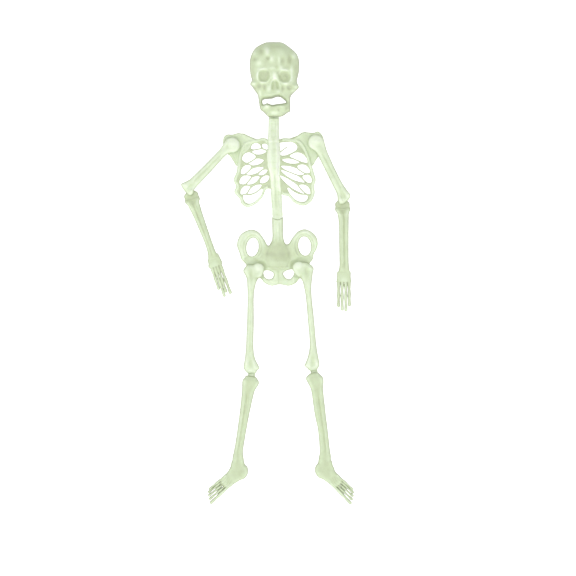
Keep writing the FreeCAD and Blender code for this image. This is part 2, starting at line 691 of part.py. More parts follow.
# -------------------------------------------------------------------- output
save(make_skull(), "skull")
save(make_torso(), "torso")
save(make_pelvis(), "pelvis")
save(make_upper_arm(ARM_STATIONS_R, SHOULDER_R, ELBOW_R), "upper_arm_r")
save(make_upper_arm(ARM_STATIONS_L, SHOULDER_L, ELBOW_L), "upper_arm_l")
save(make_forearm(FOREARM_STATIONS_R, HAND_R, ELBOW_R, WRIST_R), "forearm_hand_r")
save(make_forearm(FOREARM_STATIONS_L, HAND_L, ELBOW_L, WRIST_L), "forearm_hand_l")
save(make_thigh(THIGH_STATIONS_R, HIP_R, KNEE_R), "thigh_r")
save(make_thigh(THIGH_STATIONS_L, HIP_L, KNEE_L), "thigh_l")
save(make_shin(SHIN_STATIONS_R, KNEE_R, ANKLE_R), "shin_foot_r")
save(make_shin(SHIN_STATIONS_L, KNEE_L, ANKLE_L), "shin_foot_l")

RIVETS = {
    "rivet_neck": (NECK, RIVET_TIP),
    "rivet_waist": (WAIST, RIVET_TIP_WAIST),
    "rivet_shoulder_r": (SHOULDER_R, RIVET_TIP),
    "rivet_shoulder_l": (SHOULDER_L, RIVET_TIP),
    "rivet_elbow_r": (ELBOW_R, RIVET_TIP_ELBOW),
    "rivet_elbow_l": (ELBOW_L, RIVET_TIP_ELBOW),
    "rivet_hip_r": (HIP_R, RIVET_TIP),
    "rivet_hip_l": (HIP_L, RIVET_TIP),
    "rivet_knee_r": (KNEE_R, RIVET_TIP),
    "rivet_knee_l": (KNEE_L, RIVET_TIP),
}
for name, (pivot, tip) in RIVETS.items():
    save(make_rivet(pivot[0], pivot[1], tip), name)
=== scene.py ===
import json
import math
import bpy
import numpy as np
import openvdb
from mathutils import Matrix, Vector


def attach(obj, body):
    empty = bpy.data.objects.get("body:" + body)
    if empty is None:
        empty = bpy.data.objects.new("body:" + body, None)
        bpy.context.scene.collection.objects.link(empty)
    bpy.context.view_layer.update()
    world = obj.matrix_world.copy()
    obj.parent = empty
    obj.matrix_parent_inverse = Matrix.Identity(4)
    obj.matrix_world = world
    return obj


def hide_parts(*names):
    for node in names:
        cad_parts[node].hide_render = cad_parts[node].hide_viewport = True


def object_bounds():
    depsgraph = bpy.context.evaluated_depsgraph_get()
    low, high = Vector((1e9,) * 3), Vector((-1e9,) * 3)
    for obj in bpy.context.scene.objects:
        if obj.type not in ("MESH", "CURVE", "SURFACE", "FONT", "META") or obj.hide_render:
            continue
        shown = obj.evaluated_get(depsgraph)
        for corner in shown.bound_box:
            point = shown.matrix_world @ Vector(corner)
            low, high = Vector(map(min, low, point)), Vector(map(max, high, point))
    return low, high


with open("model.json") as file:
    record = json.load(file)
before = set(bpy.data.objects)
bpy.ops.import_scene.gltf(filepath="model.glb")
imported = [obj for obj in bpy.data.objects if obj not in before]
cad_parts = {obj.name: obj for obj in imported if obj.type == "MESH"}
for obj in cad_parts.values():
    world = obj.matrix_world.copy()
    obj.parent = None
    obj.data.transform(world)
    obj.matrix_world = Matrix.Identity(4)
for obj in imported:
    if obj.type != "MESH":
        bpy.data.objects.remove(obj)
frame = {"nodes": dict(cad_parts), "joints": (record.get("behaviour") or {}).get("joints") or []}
CAD_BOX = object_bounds()

# Everything below is drawn in millimetres and scaled once, when a mesh is made.
MM = 0.001
VOXEL = 0.82
LIMB_BACK = -4.4      # rim plane of upper arms, thighs and shins
PLATE_FRONT = -4.0    # lap plates lie between these two planes
PLATE_BACK = -2.0
POST_END = -4.4
POST_R = 3.9
SHANK_R = 2.02
BORE_R = 2.1
POCKET_R = 6.0
BORE_FRONT = -8.0     # bores of lap plates start in front of the plate
BORE_EXIT = 4.0       # and end behind everything
RIVET_TIP = -11.0     # depth of the blind bores in limb posts
NECK_RIVET_TIP = -10.8
ELBOW_RIVET_TIP = -9.8
WAIST_RIVET_TIP = -9.4
HANG_HOLE_R = 2.0
WALL = 1.7
RIB_HALF = 0.7        # half thickness of the limbs' cross ribs
RIB_INSET = 0.8
HUB = (0, 0)          # a limb is drawn about its upper joint
HUMERUS_HEAD_R = 15.2
FEMUR_HEAD_R = 12.4
NECK_SWEEP_R = 27.0
WAIST_SWEEP_R = 16.0
KNEE_SWEEP_R = 17.2

PIVOT = {}
for joint in frame["joints"]:
    PIVOT[joint["name"]] = (joint["pos_m"][0] / MM, joint["pos_m"][2] / MM)


# ------------------------------------------------------------ plane geometry
def plane(x0, x1, z0, z1):
    xs = np.arange(x0, x1 + VOXEL, VOXEL, dtype=np.float32)
    zs = np.arange(z0, z1 + VOXEL, VOXEL, dtype=np.float32)
    return np.meshgrid(xs, zs, indexing="ij")


def smin(a, b, k):
    h = np.clip(0.5 + 0.5 * (b - a) / k, 0, 1)
    return b + (a - b) * h - k * h * (1 - h)


def smax(a, b, k):
    return -smin(-a, -b, k)


def smooth_closed(points, steps=8):
    """Catmull-Rom curve through a closed ring of points."""
    p = np.array(points, dtype=np.float64)
    before, after, beyond = np.roll(p, 1, 0), np.roll(p, -1, 0), np.roll(p, -2, 0)
    rows = []
    for t in np.arange(steps) / steps:
        rows.append(0.5 * (2 * p + (after - before) * t
                           + (2 * before - 5 * p + 4 * after - beyond) * t ** 2
                           + (3 * p - before - 3 * after + beyond) * t ** 3))
    return np.stack(rows, 1).reshape(-1, 2)


def ring_field(x, z, points, steps=8):
    """Signed distance to a smooth closed outline, negative inside."""
    ring = smooth_closed(points, steps)
    nearest = np.full(x.shape, 1e9, dtype=np.float32)
    inside = np.zeros(x.shape, dtype=bool)
    for (ax, az), (bx, bz) in zip(ring, np.roll(ring, -1, 0)):
        ex, ez = bx - ax, bz - az
        t = np.clip(((x - ax) * ex + (z - az) * ez) / (ex * ex + ez * ez + 1e-9), 0, 1)
        nearest = np.minimum(nearest, (x - ax - t * ex) ** 2 + (z - az - t * ez) ** 2)
        if az != bz:
            crosses = (az > z) != (bz > z)
            inside ^= crosses & (x < ax + (z - az) * ex / ez)
    dist = np.sqrt(nearest)
    return np.where(inside, -dist, dist)


def disc_field(x, z, cx, cz, radius):
    return np.hypot(x - cx, z - cz) - radius


def oval_field(x, z, cx, cz, rx, rz, tilt_deg=0.0):
    a = math.radians(tilt_deg)
    u = (x - cx) * math.cos(a) - (z - cz) * math.sin(a)
    v = (x - cx) * math.sin(a) + (z - cz) * math.cos(a)
    k = np.hypot(u / rx, v / rz)
    slope = np.hypot(u / rx ** 2, v / rz ** 2) + 1e-6
    return k * (k - 1) / slope


def bar_field(x, z, x0, z0, x1, z1, r0, r1):
    dx, dz = x1 - x0, z1 - z0
    t = np.clip(((x - x0) * dx + (z - z0) * dz) / (dx * dx + dz * dz), 0, 1)
    return np.hypot(x - x0 - t * dx, z - z0 - t * dz) - (r0 + (r1 - r0) * t)


def path_distance(x, z, points):
    best = np.full(x.shape, 1e9, dtype=np.float32)
    for (x0, z0), (x1, z1) in zip(points, points[1:]):
        best = np.minimum(best, bar_field(x, z, x0, z0, x1, z1, 0, 0))
    return best


def leaf_field(x, z, x0, z0, x1, z1, rise, fall):
    """Slot between two arcs that meet at two points."""
    half = math.hypot(x1 - x0, z1 - z0) / 2
    mx, mz = (x0 + x1) / 2, (z0 + z1) / 2
    nx, nz = -(z1 - z0) / (2 * half), (x1 - x0) / (2 * half)
    if nz < 0:
        nx, nz = -nx, -nz
    r_up = (half ** 2 + rise ** 2) / (2 * rise)
    r_down = (half ** 2 + fall ** 2) / (2 * fall)
    upper = disc_field(x, z, mx - nx * (r_up - rise), mz - nz * (r_up - rise), r_up)
    lower = disc_field(x, z, mx + nx * (r_down - fall), mz + nz * (r_down - fall), r_down)
    return smax(upper, lower, 1.6)


def round_over(depth_inside, radius):
    """0 at the outline, rising along a quarter circle to 1."""
    t = np.clip(depth_inside / radius, 0, 1)
    return np.sqrt(np.maximum(0, 1 - (1 - t) ** 2))


def soft_inside(field, width):
    """1 inside an outline, 0 outside, with a soft edge."""
    return 1 / (1 + np.exp(np.clip(field / width, -20, 20)))


def crest(field, at, width):
    """1 where the field has a value, fading to both sides."""
    return np.exp(-((field - at) / width) ** 2)


def lumps(x, z, table):
    """Sum of soft oval bumps: (x, z, half width, half height, rise)."""
    total = np.zeros(x.shape, dtype=np.float32)
    for cx, cz, rx, rz, rise in table:
        total += rise * np.exp(-((x - cx) / rx) ** 2 - ((z - cz) / rz) ** 2)
    return total


def furrow(x, z, points, width, depth):
    return -depth * np.exp(-(path_distance(x, z, points) / width) ** 2)


def blurred(field, radius_mm):
    """Separable Gaussian blur that repeats the border."""
    half = max(1, int(3 * radius_mm / VOXEL))
    kernel = np.exp(-0.5 * (np.arange(-half, half + 1) * VOXEL / radius_mm) ** 2)
    kernel /= kernel.sum()
    out = field
    for axis in (0, 1):
        pad = [(0, 0), (0, 0)]
        pad[axis] = (half, half)
        wide = np.pad(out, pad, mode="edge")
        size = out.shape[axis]
        out = sum(w * np.take(wide, range(i, i + size), axis) for i, w in enumerate(kernel))
    return out


def offset_inside(height, outline, wall):
    """Height of the hollow that leaves an even wall behind a relief."""
    relief = np.where(outline < 0, height, 0.0)
    best = relief - wall
    reach = int(wall / VOXEL)
    for i in range(-reach, reach + 1):
        for j in range(-reach, reach + 1):
            across = math.hypot(i, j) * VOXEL
            if 0 < across <= wall:
                moved = np.roll(relief, (i, j), (0, 1)) - math.sqrt(wall ** 2 - across ** 2)
                best = np.minimum(best, moved)
    return best


def wander(x, z, scale, seed):
    """Low smooth unevenness, as on a hand-cut mould."""
    a = np.sin(x / scale + 1.7 * np.sin(z / (scale * 1.3) + seed) + seed)
    b = np.sin(z / scale * 0.8 + 1.3 * np.sin(x / (scale * 0.9) - seed))
    return (a + b) * 0.5


# ------------------------------------------------------------- solid fields
class Moulding:
    """Half-relief shell over the XZ plane, stored as a signed distance volume."""

    def __init__(self, x, z, y_back, y_front):
        self.x, self.z = x, z
        self.y = np.arange(y_front - 3, y_back + 5, VOXEL, dtype=np.float32)[None, :, None]
        self.y_back = y_back
        self.field = None

    def shell(self, outline, height, wall, hollow_edge=None, edge=0.8):
        inner = blurred(offset_inside(height, outline, wall), 0.9)
        hollow_edge = outline if hollow_edge is None else hollow_edge
        outer = self._relief(outline, height, edge)
        hollow = self._relief(hollow_edge + wall, inner, 0.4, open_back=True)
        self.outer = outer
        self.field = smax(outer, -hollow, 0.4)
        return inner

    def _relief(self, outline, height, edge, open_back=False):
        gx, gz = np.gradient(height, VOXEL)
        steep = 1 / np.sqrt(1 + np.minimum(gx * gx + gz * gz, 9.0))
        front = ((self.y_back - height)[:, None, :] - self.y) * steep[:, None, :]
        solid = smax(front, outline[:, None, :], edge)
        if open_back:
            return solid
        return smax(solid, self.y - self.y_back, 0.5)

    def rod(self, flat, y0, y1):
        """Prism of a flat field between two depths."""
        middle, half = (y0 + y1) / 2, abs(y1 - y0) / 2
        return smax(flat[:, None, :], np.abs(self.y - middle) - half, 0.35)

    def add(self, solid, blend=0.5):
        self.field = smin(self.field, solid, blend)

    def stiffen(self, flat, y0, y1):
        """Add a rib or post that stays behind the front skin."""
        self.add(smax(self.rod(flat, y0, y1), self.outer + 0.6, 0.3))

    def cut(self, solid, blend=0.35):
        self.field = smax(self.field, -solid, blend)

    def post(self, centre, radius, y0, y1):
        """Add a round post between two depths."""
        self.add(self.rod(disc_field(self.x, self.z, *centre, radius), y0, y1))

    def bore(self, centre, radius, y0=BORE_FRONT, y1=BORE_EXIT):
        """Drill a round hole between two depths."""
        self.cut(self.rod(disc_field(self.x, self.z, *centre, radius), y0, y1))

    def lap_bore(self, centre):
        """Running bore of a lap plate and the pocket for its rivet's head."""
        self.bore(centre, BORE_R)
        self.bore(centre, POCKET_R, PLATE_BACK)

    def cross_ribs(self, levels, edge):
        """Thin ribs across the hollow of a limb."""
        for level in levels:
            rib = np.maximum(np.abs(self.z - level) - RIB_HALF, edge + RIB_INSET)
            self.stiffen(rib, self.y_back - 10.0, self.y_back - 1.2)

    def mesh(self, name, tone, place=None):
        """Mesh of the zero surface with the tone field, colour with painted highlights and
        shade, painted on its vertices.
        """
        padded = np.pad(self.field.astype(np.float32), 1, constant_values=2.0)
        padded = np.clip(padded, -2.0, 2.0)
        grid = openvdb.FloatGrid(2.0)
        grid.copyFromArray(padded)
        points, quads = grid.convertToQuads(isovalue=0.0)
        cells = np.array(points)
        gx, gy, gz = cells[:, 0] - 1, cells[:, 1] - 1, cells[:, 2] - 1
        verts = np.empty_like(cells)
        verts[:, 0] = self.x[0, 0] + gx * VOXEL
        verts[:, 1] = self.y[0, 0, 0] + gy * VOXEL
        verts[:, 2] = self.z[0, 0] + gz * VOXEL
        shade = self._sample(tone, gx, gz)
        if place:
            verts[:, 0], verts[:, 2] = place(verts[:, 0], verts[:, 2])
        faces = np.array(quads)
        mesh = bpy.data.meshes.new(name)
        mesh.from_pydata((verts * MM).tolist(), [], faces.tolist())
        mesh.polygons.foreach_set("use_smooth", np.ones(len(faces), dtype=bool))
        paint = mesh.attributes.new("tone", "FLOAT", "POINT")
        paint.data.foreach_set("value", shade.astype(np.float32))
        mesh.update()
        outward_faces(mesh)
        obj = bpy.data.objects.new(name, mesh)
        bpy.context.scene.collection.objects.link(obj)
        return obj

    @staticmethod
    def _sample(field, gx, gz):
        nx, nz = field.shape
        ix = np.clip(gx.astype(int), 0, nx - 2)
        iz = np.clip(gz.astype(int), 0, nz - 2)
        fx, fz = np.clip(gx - ix, 0, 1), np.clip(gz - iz, 0, 1)
        low = field[ix, iz] * (1 - fx) + field[ix + 1, iz] * fx
        high = field[ix, iz + 1] * (1 - fx) + field[ix + 1, iz + 1] * fx
        return low * (1 - fz) + high * fz


def outward_faces(mesh):
    """Turn every face over if the closed mesh encloses a negative volume."""
    mesh.calc_loop_triangles()
    count = len(mesh.loop_triangles)
    index = np.empty(count * 3, dtype=np.int32)
    mesh.loop_triangles.foreach_get("vertices", index)
    co = np.empty(len(mesh.vertices) * 3, dtype=np.float32)
    mesh.vertices.foreach_get("co", co)
    tri = co.reshape(-1, 3)[index.reshape(-1, 3)].astype(np.float64)
    volume = np.einsum("ij,ij->i", tri[:, 0], np.cross(tri[:, 1], tri[:, 2])).sum()
    if volume < 0:
        mesh.flip_normals()


def edge_shade_mask(outline, width=1.5):
    """1 along an outline, fading inwards; the mask of the painted shade along outlines."""
    return np.exp(-(np.maximum(0, -outline) / width) ** 2)


def painted_relief_shading(height, outline, base, contrast, rim=0.12):
    """Painted highlights on ridges, painted shade in hollows and a painted shade line along the
    edge.
    """
    detail = height - blurred(height, 3.5)
    return base + contrast * np.clip(detail, -3, 3) - rim * edge_shade_mask(outline)


def finish_piece(piece, tone, body, node, material, place=None):
    obj = piece.mesh(node + "_relief", tone, place)
    obj.data.materials.append(material)
    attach(obj, body)
    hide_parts(node)


# -------------------------------------------------------------------- skull
SKULL_EDGE = [
    (-14, 8.7), (0, 9), (13.6, 8.6), (22.5, 4.6), (31, -1.8), (39.5, -8.8),
    (45, -15.5), (48.4, -25), (49.2, -36), (48.8, -46), (46.4, -58),
    (44.6, -65), (45.6, -71), (48.4, -78), (46.6, -81.6), (42.6, -85.4),
    (35.6, -92.4), (32, -98), (31.7, -111), (31.4, -124.6), (26.6, -128.4),
    (16.4, -135.2), (6, -136.9), (-8, -136.8), (-13.4, -134.6), (-19.6, -127.8),
    (-26.4, -122), (-28.8, -111), (-30.6, -98), (-32.2, -92.4), (-37.6, -85),
    (-42.4, -77.8), (-45.8, -74), (-45.8, -70.4), (-42.9, -65), (-44.8, -58),
    (-46.7, -46), (-47.3, -36), (-46.8, -26.5), (-43.4, -14), (-36.4, -3),
    (-27.4, 3.2), (-20, 6.8),
]
MOUTH_EDGE = [
    (-22.6, -105.5), (-20.6, -102.8), (-16, -101.8), (-4.5, -101), (4, -97.8),
    (12.6, -98), (19, -102.8), (24, -107.8), (19.6, -110.6), (4.4, -112.8),
    (-2, -114), (-7.4, -113), (-12.8, -110.8), (-16.8, -112.2), (-20.4, -112.8),
    (-22.2, -109.8),
]
SKULL_DEPTH = 32.0
# (x, z, half width, half height, rise)
SKULL_LUMPS = [
    # forehead and crown
    (-13, -11, 5.5, 9.5, 1.9), (-4.6, -26.6, 4.2, 6.2, 2), (-11.6, -24.5, 3.6, 3.8, -2.6),
    (10.4, -30, 2.6, 8, 1.7), (37.5, -19.5, 5, 6, 1.8), (-29, -33, 5, 6, 1.6),
    (-38, -14, 4, 5, 1.2), (-37.6, -25.5, 4.2, 4.6, -2.2), (31, -26, 4.6, 9, -2.8),
    (17.4, -29, 4.4, 6, -2), (0, -2, 16, 3.5, -0.8), (-25, -11, 4.5, 7, -1.5),
    (14, -12, 7, 7, 0.8), (-2, -43.6, 6, 3, 1.2), (13.6, -43.4, 4.4, 4.4, 1.6),
    (5.2, -40.6, 3, 4, -1.2), (-18, -30, 5, 5, -0.9), (24, -40, 5, 3.4, -0.9),
    # brows, outer orbit lines and cheekbones
    (-21, -45.4, 9, 2.8, 2.2), (21.5, -47.4, 11, 2.4, 2), (34.6, -47, 3, 11, 2),
    (-31.6, -56, 3, 10, 1.8), (34.4, -66, 4, 6, 1.4), (-22, -72, 8, 2.6, 1.8),
    (24, -74.6, 8, 3, 2), (-39.6, -73.6, 4.4, 3.8, 2), (43.6, -79, 4, 5, 1.6),
    (-29.4, -77, 4.2, 6, -3.2), (30.6, -80.6, 5.4, 5.2, -3.4), (-38.6, -81, 5, 4, -1.6),
    (39, -87, 6, 2.4, 1.6), (-41, -50, 3, 9, -1), (42.5, -50, 3, 11, -1.2),
    # nose and upper jaw
    (1.4, -60, 4, 7, 3.2), (-9.8, -83.4, 4.4, 6, 2.2), (-18.4, -81, 3.2, 6, -2.4),
    (17.4, -82, 3.4, 5, -2.2), (9, -89, 5, 4, 1.2), (-27.6, -93, 2.8, 8, 1.6),
    (0, -95, 16, 2.8, 0.8), (-10.4, -51.6, 3.2, 4, -1.6), (8.8, -54, 2.6, 5, -1.6),
    # lower jaw
    (-14, -117, 6, 5, 2.2), (9.6, -123.6, 2.8, 2.6, -1.6), (24.4, -121, 3, 3.6, -1.6),
    (1, -130, 8, 4, 1.6), (14, -117.4, 6, 2.6, 1), (-4, -122, 4, 4, -1.2),
]

# (x, z, half width, half height)
EYES = ((-19.4, -58.8, 10.2, 10.6), (20.6, -60.6, 10.8, 9.8))
NOSE_EDGE = [(2.4, -65.6), (7.4, -72), (10.6, -82), (4, -85.4), (-4, -85),
             (-3.4, -74)]
# (path, half width, depth)
NOSE_FURROWS = (([(-1.4, -70), (-2.8, -83)], 1.7, 1.9),
                ([(5.6, -70.5), (7.2, -82)], 1.9, 2.1))
JAW_FURROWS = (([(-24.6, -97), (-23.6, -114)], 1.3, 1.6),
               ([(28.2, -100), (28, -116)], 1.2, 1.2))
SKULL_RIM = 5.0       # depth of the crown's edge
SKULL_RISE = 25.0
SKULL_ROUND = 36.0
SKULL_WALL = 1.9
# (tooth numbers, middle, pitch, top, bottom, splay, depth)
TOOTH_ROWS = ((range(-4, 5), 1.0, 4.2, -90.5, -96.5, 1.02, 0.8),
              (range(-3, 5), 1.5, 4.4, -115.5, -119.0, 1.0, 0.6))


def make_skull(material):
    x, z = plane(-52, 54, -142, 14)
    outline = ring_field(x, z, SKULL_EDGE)
    mouth = ring_field(x, z, MOUTH_EDGE)
    open_face = smax(outline, -mouth, 0.8)

    crown = SKULL_RIM + SKULL_RISE * round_over(-outline, SKULL_ROUND)
    lip = 1 - 0.3 * np.exp(-(np.maximum(0, mouth) / 3.0) ** 2)
    detail = lumps(x, z, SKULL_LUMPS)
    # Painted relief light: bumps get a painted highlight and dips painted shade.
    paint = 0.12 * np.clip(detail, -2.2, 0) + 0.17 * np.clip(detail, 0, 2.6)
    for cx, cz, rx, rz in EYES:
        eye = oval_field(x, z, cx, cz, rx, rz)
        detail = detail - 4.6 * soft_inside(eye + 1.0, 1.3)
        detail = detail + 1.3 * crest(eye, 2.6, 1.9)
        # Painted shade inside the eye socket, painted highlight on its raised rim.
        paint = paint - 0.20 * soft_inside(eye + 0.4, 1.2)
        paint = paint + 0.13 * crest(eye, 2.6, 1.9)
    detail = detail + lumps(x, z, [(20.8, -61.6, 3.8, 3.8, 2.6), (-19.4, -60.4, 4.6, 4.6, 0.6)])
    cavity = ring_field(x, z, NOSE_EDGE)
    detail = detail - 1.5 * soft_inside(cavity, 1.1)
    detail = detail + 1.5 * crest(cavity, 2.0, 1.5) * np.clip((z + 86) / 8, 0, 1)
    # Painted highlight on the nose hole's raised rim, painted shade inside it.
    paint = paint + 0.22 * crest(cavity, 2.0, 1.6) * np.clip((z + 86) / 8, 0, 1)
    paint = paint - 0.08 * soft_inside(cavity, 1.1)
    for path, width, depth in NOSE_FURROWS:
        detail = detail + furrow(x, z, path, width, depth)
    detail = detail + lumps(x, z, [(2.0, -77.0, 1.7, 7.0, 1.3)])
    for teeth, middle, pitch, top, bottom, splay, depth in TOOTH_ROWS:
        for tooth in teeth:
            tx = middle + tooth * pitch
            detail = detail + furrow(x, z, [(tx, top), (tx * splay, bottom)], 0.8, depth)
    for path, width, depth in JAW_FURROWS:
        detail = detail + furrow(x, z, path, width, depth)
    detail = detail + 0.35 * wander(x, z, 4.2, 0.6)

    outer = smin(np.maximum(crown * lip + detail, 2.5), SKULL_DEPTH, 3.0)
    piece = Moulding(x, z, 0.0, -34.0)
    piece.shell(open_face, outer, SKULL_WALL)
    # post for the neck rivet, eyelet plate with the hanging hole, two stiff ribs
    inside = smax(outline + 0.6, -mouth + 1.0, 0.5)
    neck = disc_field(x, z, PIVOT["neck"][0], PIVOT["neck"][1], POST_R)
    piece.add(piece.rod(neck, POST_END, -15.0))
    plate = np.maximum(outline + 0.6, np.maximum(-z - 5.5, z - 6.5))
    plate = np.maximum(plate, np.abs(x) - 20)
    piece.add(piece.rod(plate, -2.4, 0.0))
    for side in (-1, 1):
        rib = np.maximum(bar_field(x, z, side * 20, 2, side * 26, -40, 0.8, 0.8), inside)
        piece.stiffen(rib, -30.0, -4.0)
    lap = np.maximum(disc_field(x, z, *PIVOT["neck"], NECK_SWEEP_R), z + 115.5)
    piece.cut(piece.rod(lap, POST_END, 8.0))
    piece.bore(PIVOT["neck"], SHANK_R, NECK_RIVET_TIP)
    piece.bore(HUB, HANG_HOLE_R, -4.0)
    # Painted shade along the skull's outline and the mouth's edge.
    tone = 0.44 + paint - 0.60 * edge_shade_mask(open_face, 1.9)
    tone += lumps(x, z, [(0, -118, 26, 12, -0.10), (0, -76, 40, 12, -0.04),
                         (46, -34, 6, 22, -0.06)])
    finish_piece(piece, tone, "skull", "skull", material)


# -------------------------------------------------------------------- torso
RIB_BALL_R = 240.0
RIB_DEPTH = 19.0
RIB_CENTRE = (2.0, -248.0)
# spine: (distance below the hole, left edge, right edge, depth)
SPINE_STATIONS = [
    (139.4, -10.4, 9.6, 8.6), (160, -11, 9.8, 10.6), (182, -12, 10.8, 16.5),
    (212, -13.8, 12.8, 21.6), (232, -12.8, 12.2, 22.2), (246, -9, 11.8, 21),
    (268, -6.8, 13, 16.6), (290, -5.8, 15, 12.8), (313, -4.2, 16.4, 10.9),
    (325, -3.7, 17.7, 10.4), (340, -3.7, 17.7, 10.4),
]
WAIST_END_R = 10.7
COLLAR_R = 3.4
COLLAR_PATHS = ([(-8, -184), (-30, -183.6), (-46, -179), (-60, -171.6)],
                [(8, -183.4), (30, -181.6), (46, -176), (60, -168.6)])
BLADE_SPINES = ([(-44, -181), (-62, -174), (-88, -173)],
                [(44, -181), (60, -172), (86, -169)])
# (path, half width, depth)
SPINE_FURROWS = (([(-4.6, -144), (-4.4, -176)], 1.3, 0.9),
                 ([(3.6, -144), (3.8, -176)], 1.3, 0.9),
                 ([(1.6, -250), (2.6, -290), (4.4, -316)], 1.5, 0.9),
                 ([(7.4, -262), (9.4, -290), (11.4, -316)], 1.2, 0.7))
VERTEBRA_PITCH = 12.5
TORSO_WALL = 1.8
RIB_EDGE_R = [
    (-12, -181), (-37, -180), (-58, -186), (-68, -205), (-71, -232),
    (-73, -244), (-78.6, -258.6), (-73.6, -271), (-77.2, -282), (-67, -295),
    (-62.6, -305.6), (-50, -311.6), (-34, -304), (-21.4, -291), (-14.6, -277),
    (2, -272), (4, -230),
]
RIB_EDGE_L = [
    (10, -182), (38, -179), (54, -184), (66, -205), (73, -229),
    (78, -246), (81.2, -258.6), (78, -271), (79, -285), (72, -300.5),
    (58, -308.4), (41, -304), (28.4, -291.5), (15, -287), (6, -270),
    (0, -230),
]
# slots: end, other end, rise above and fall below the line between them
SLOT_GROWTH = 1.2     # slots are drawn slim, then opened to thin bars
BAR_WIDTH = 2.3
SLOTS = [
    (-43.5, -197, -26.5, -196.6, 8.4, 2), (-22.4, -191, -12, -198.4, 4.4, 3.2),
    (-42, -205, -16, -203.4, 4, 4.2), (-61, -218, -36.6, -214, 9.4, 8.6),
    (-49.4, -227.6, -21, -221.6, 5.4, 4.4), (-63, -246, -46.4, -231, 5.6, 5.6),
    (-53.4, -247.6, -21.6, -236, 4.4, 4), (-28.8, -248.4, -13.6, -240.6, 3, 3.2),
    (-66, -264.6, -45.6, -253, 7, 6), (-52.4, -266.4, -29, -253.4, 4.2, 4.4),
    (-26, -264, -10, -252.6, 5, 4.4), (-63.6, -285.6, -47.6, -272.4, 6.4, 4.6),
    (-51, -284.6, -25, -269.4, 4.4, 4.8),
    (32, -213, 63.6, -224.6, 11.4, 1.4), (17.6, -220.6, 47.6, -224.6, 3.4, 3.4),
    (46.6, -233, 68.4, -243.6, 7.4, 5), (15.4, -233, 59.4, -248, 4.4, 5),
    (15.4, -241.6, 58, -262.6, 4, 4.4), (56.4, -251, 71.4, -263, 7, 4),
    (13, -252, 59, -285, 3.6, 4.4), (49.6, -270.4, 69.4, -285, 7, 4),
]
LOOPS = [
    [(-58.6, -289), (-46, -289.6), (-34, -284.6), (-23.4, -277.6),
     (-26.6, -288.6), (-37, -299), (-48, -303.4), (-56, -299.6)],
    [(27.4, -275.4), (39, -283.6), (51, -288.6), (63.6, -288.6),
     (63, -296), (56, -300), (44, -297), (33.4, -287)],
    [(12.6, -188), (28, -185.6), (40, -189), (43.6, -197.6),
     (32, -206.4), (13.6, -209.6)],
]
SCAPULA_R = [(-36.9, -180.2), (-52.5, -171.8), (-68, -167.6), (-80.5, -170.4),
             (-91.4, -170.6), (-98, -177), (-98.6, -192), (-93, -205),
             (-84.4, -213.4), (-78.4, -223), (-72.6, -231), (-65.4, -227),
             (-61.6, -212), (-50, -202), (-43, -192)]
SCAPULA_L = [(38, -179.4), (48, -171), (57, -165.8), (76.6, -166.8),
             (86, -164.4), (94.6, -173.6), (97, -186), (94, -199),
             (86.4, -212.6), (80.4, -222), (74.4, -231), (67, -225),
             (61.6, -210), (52, -197), (45, -187)]


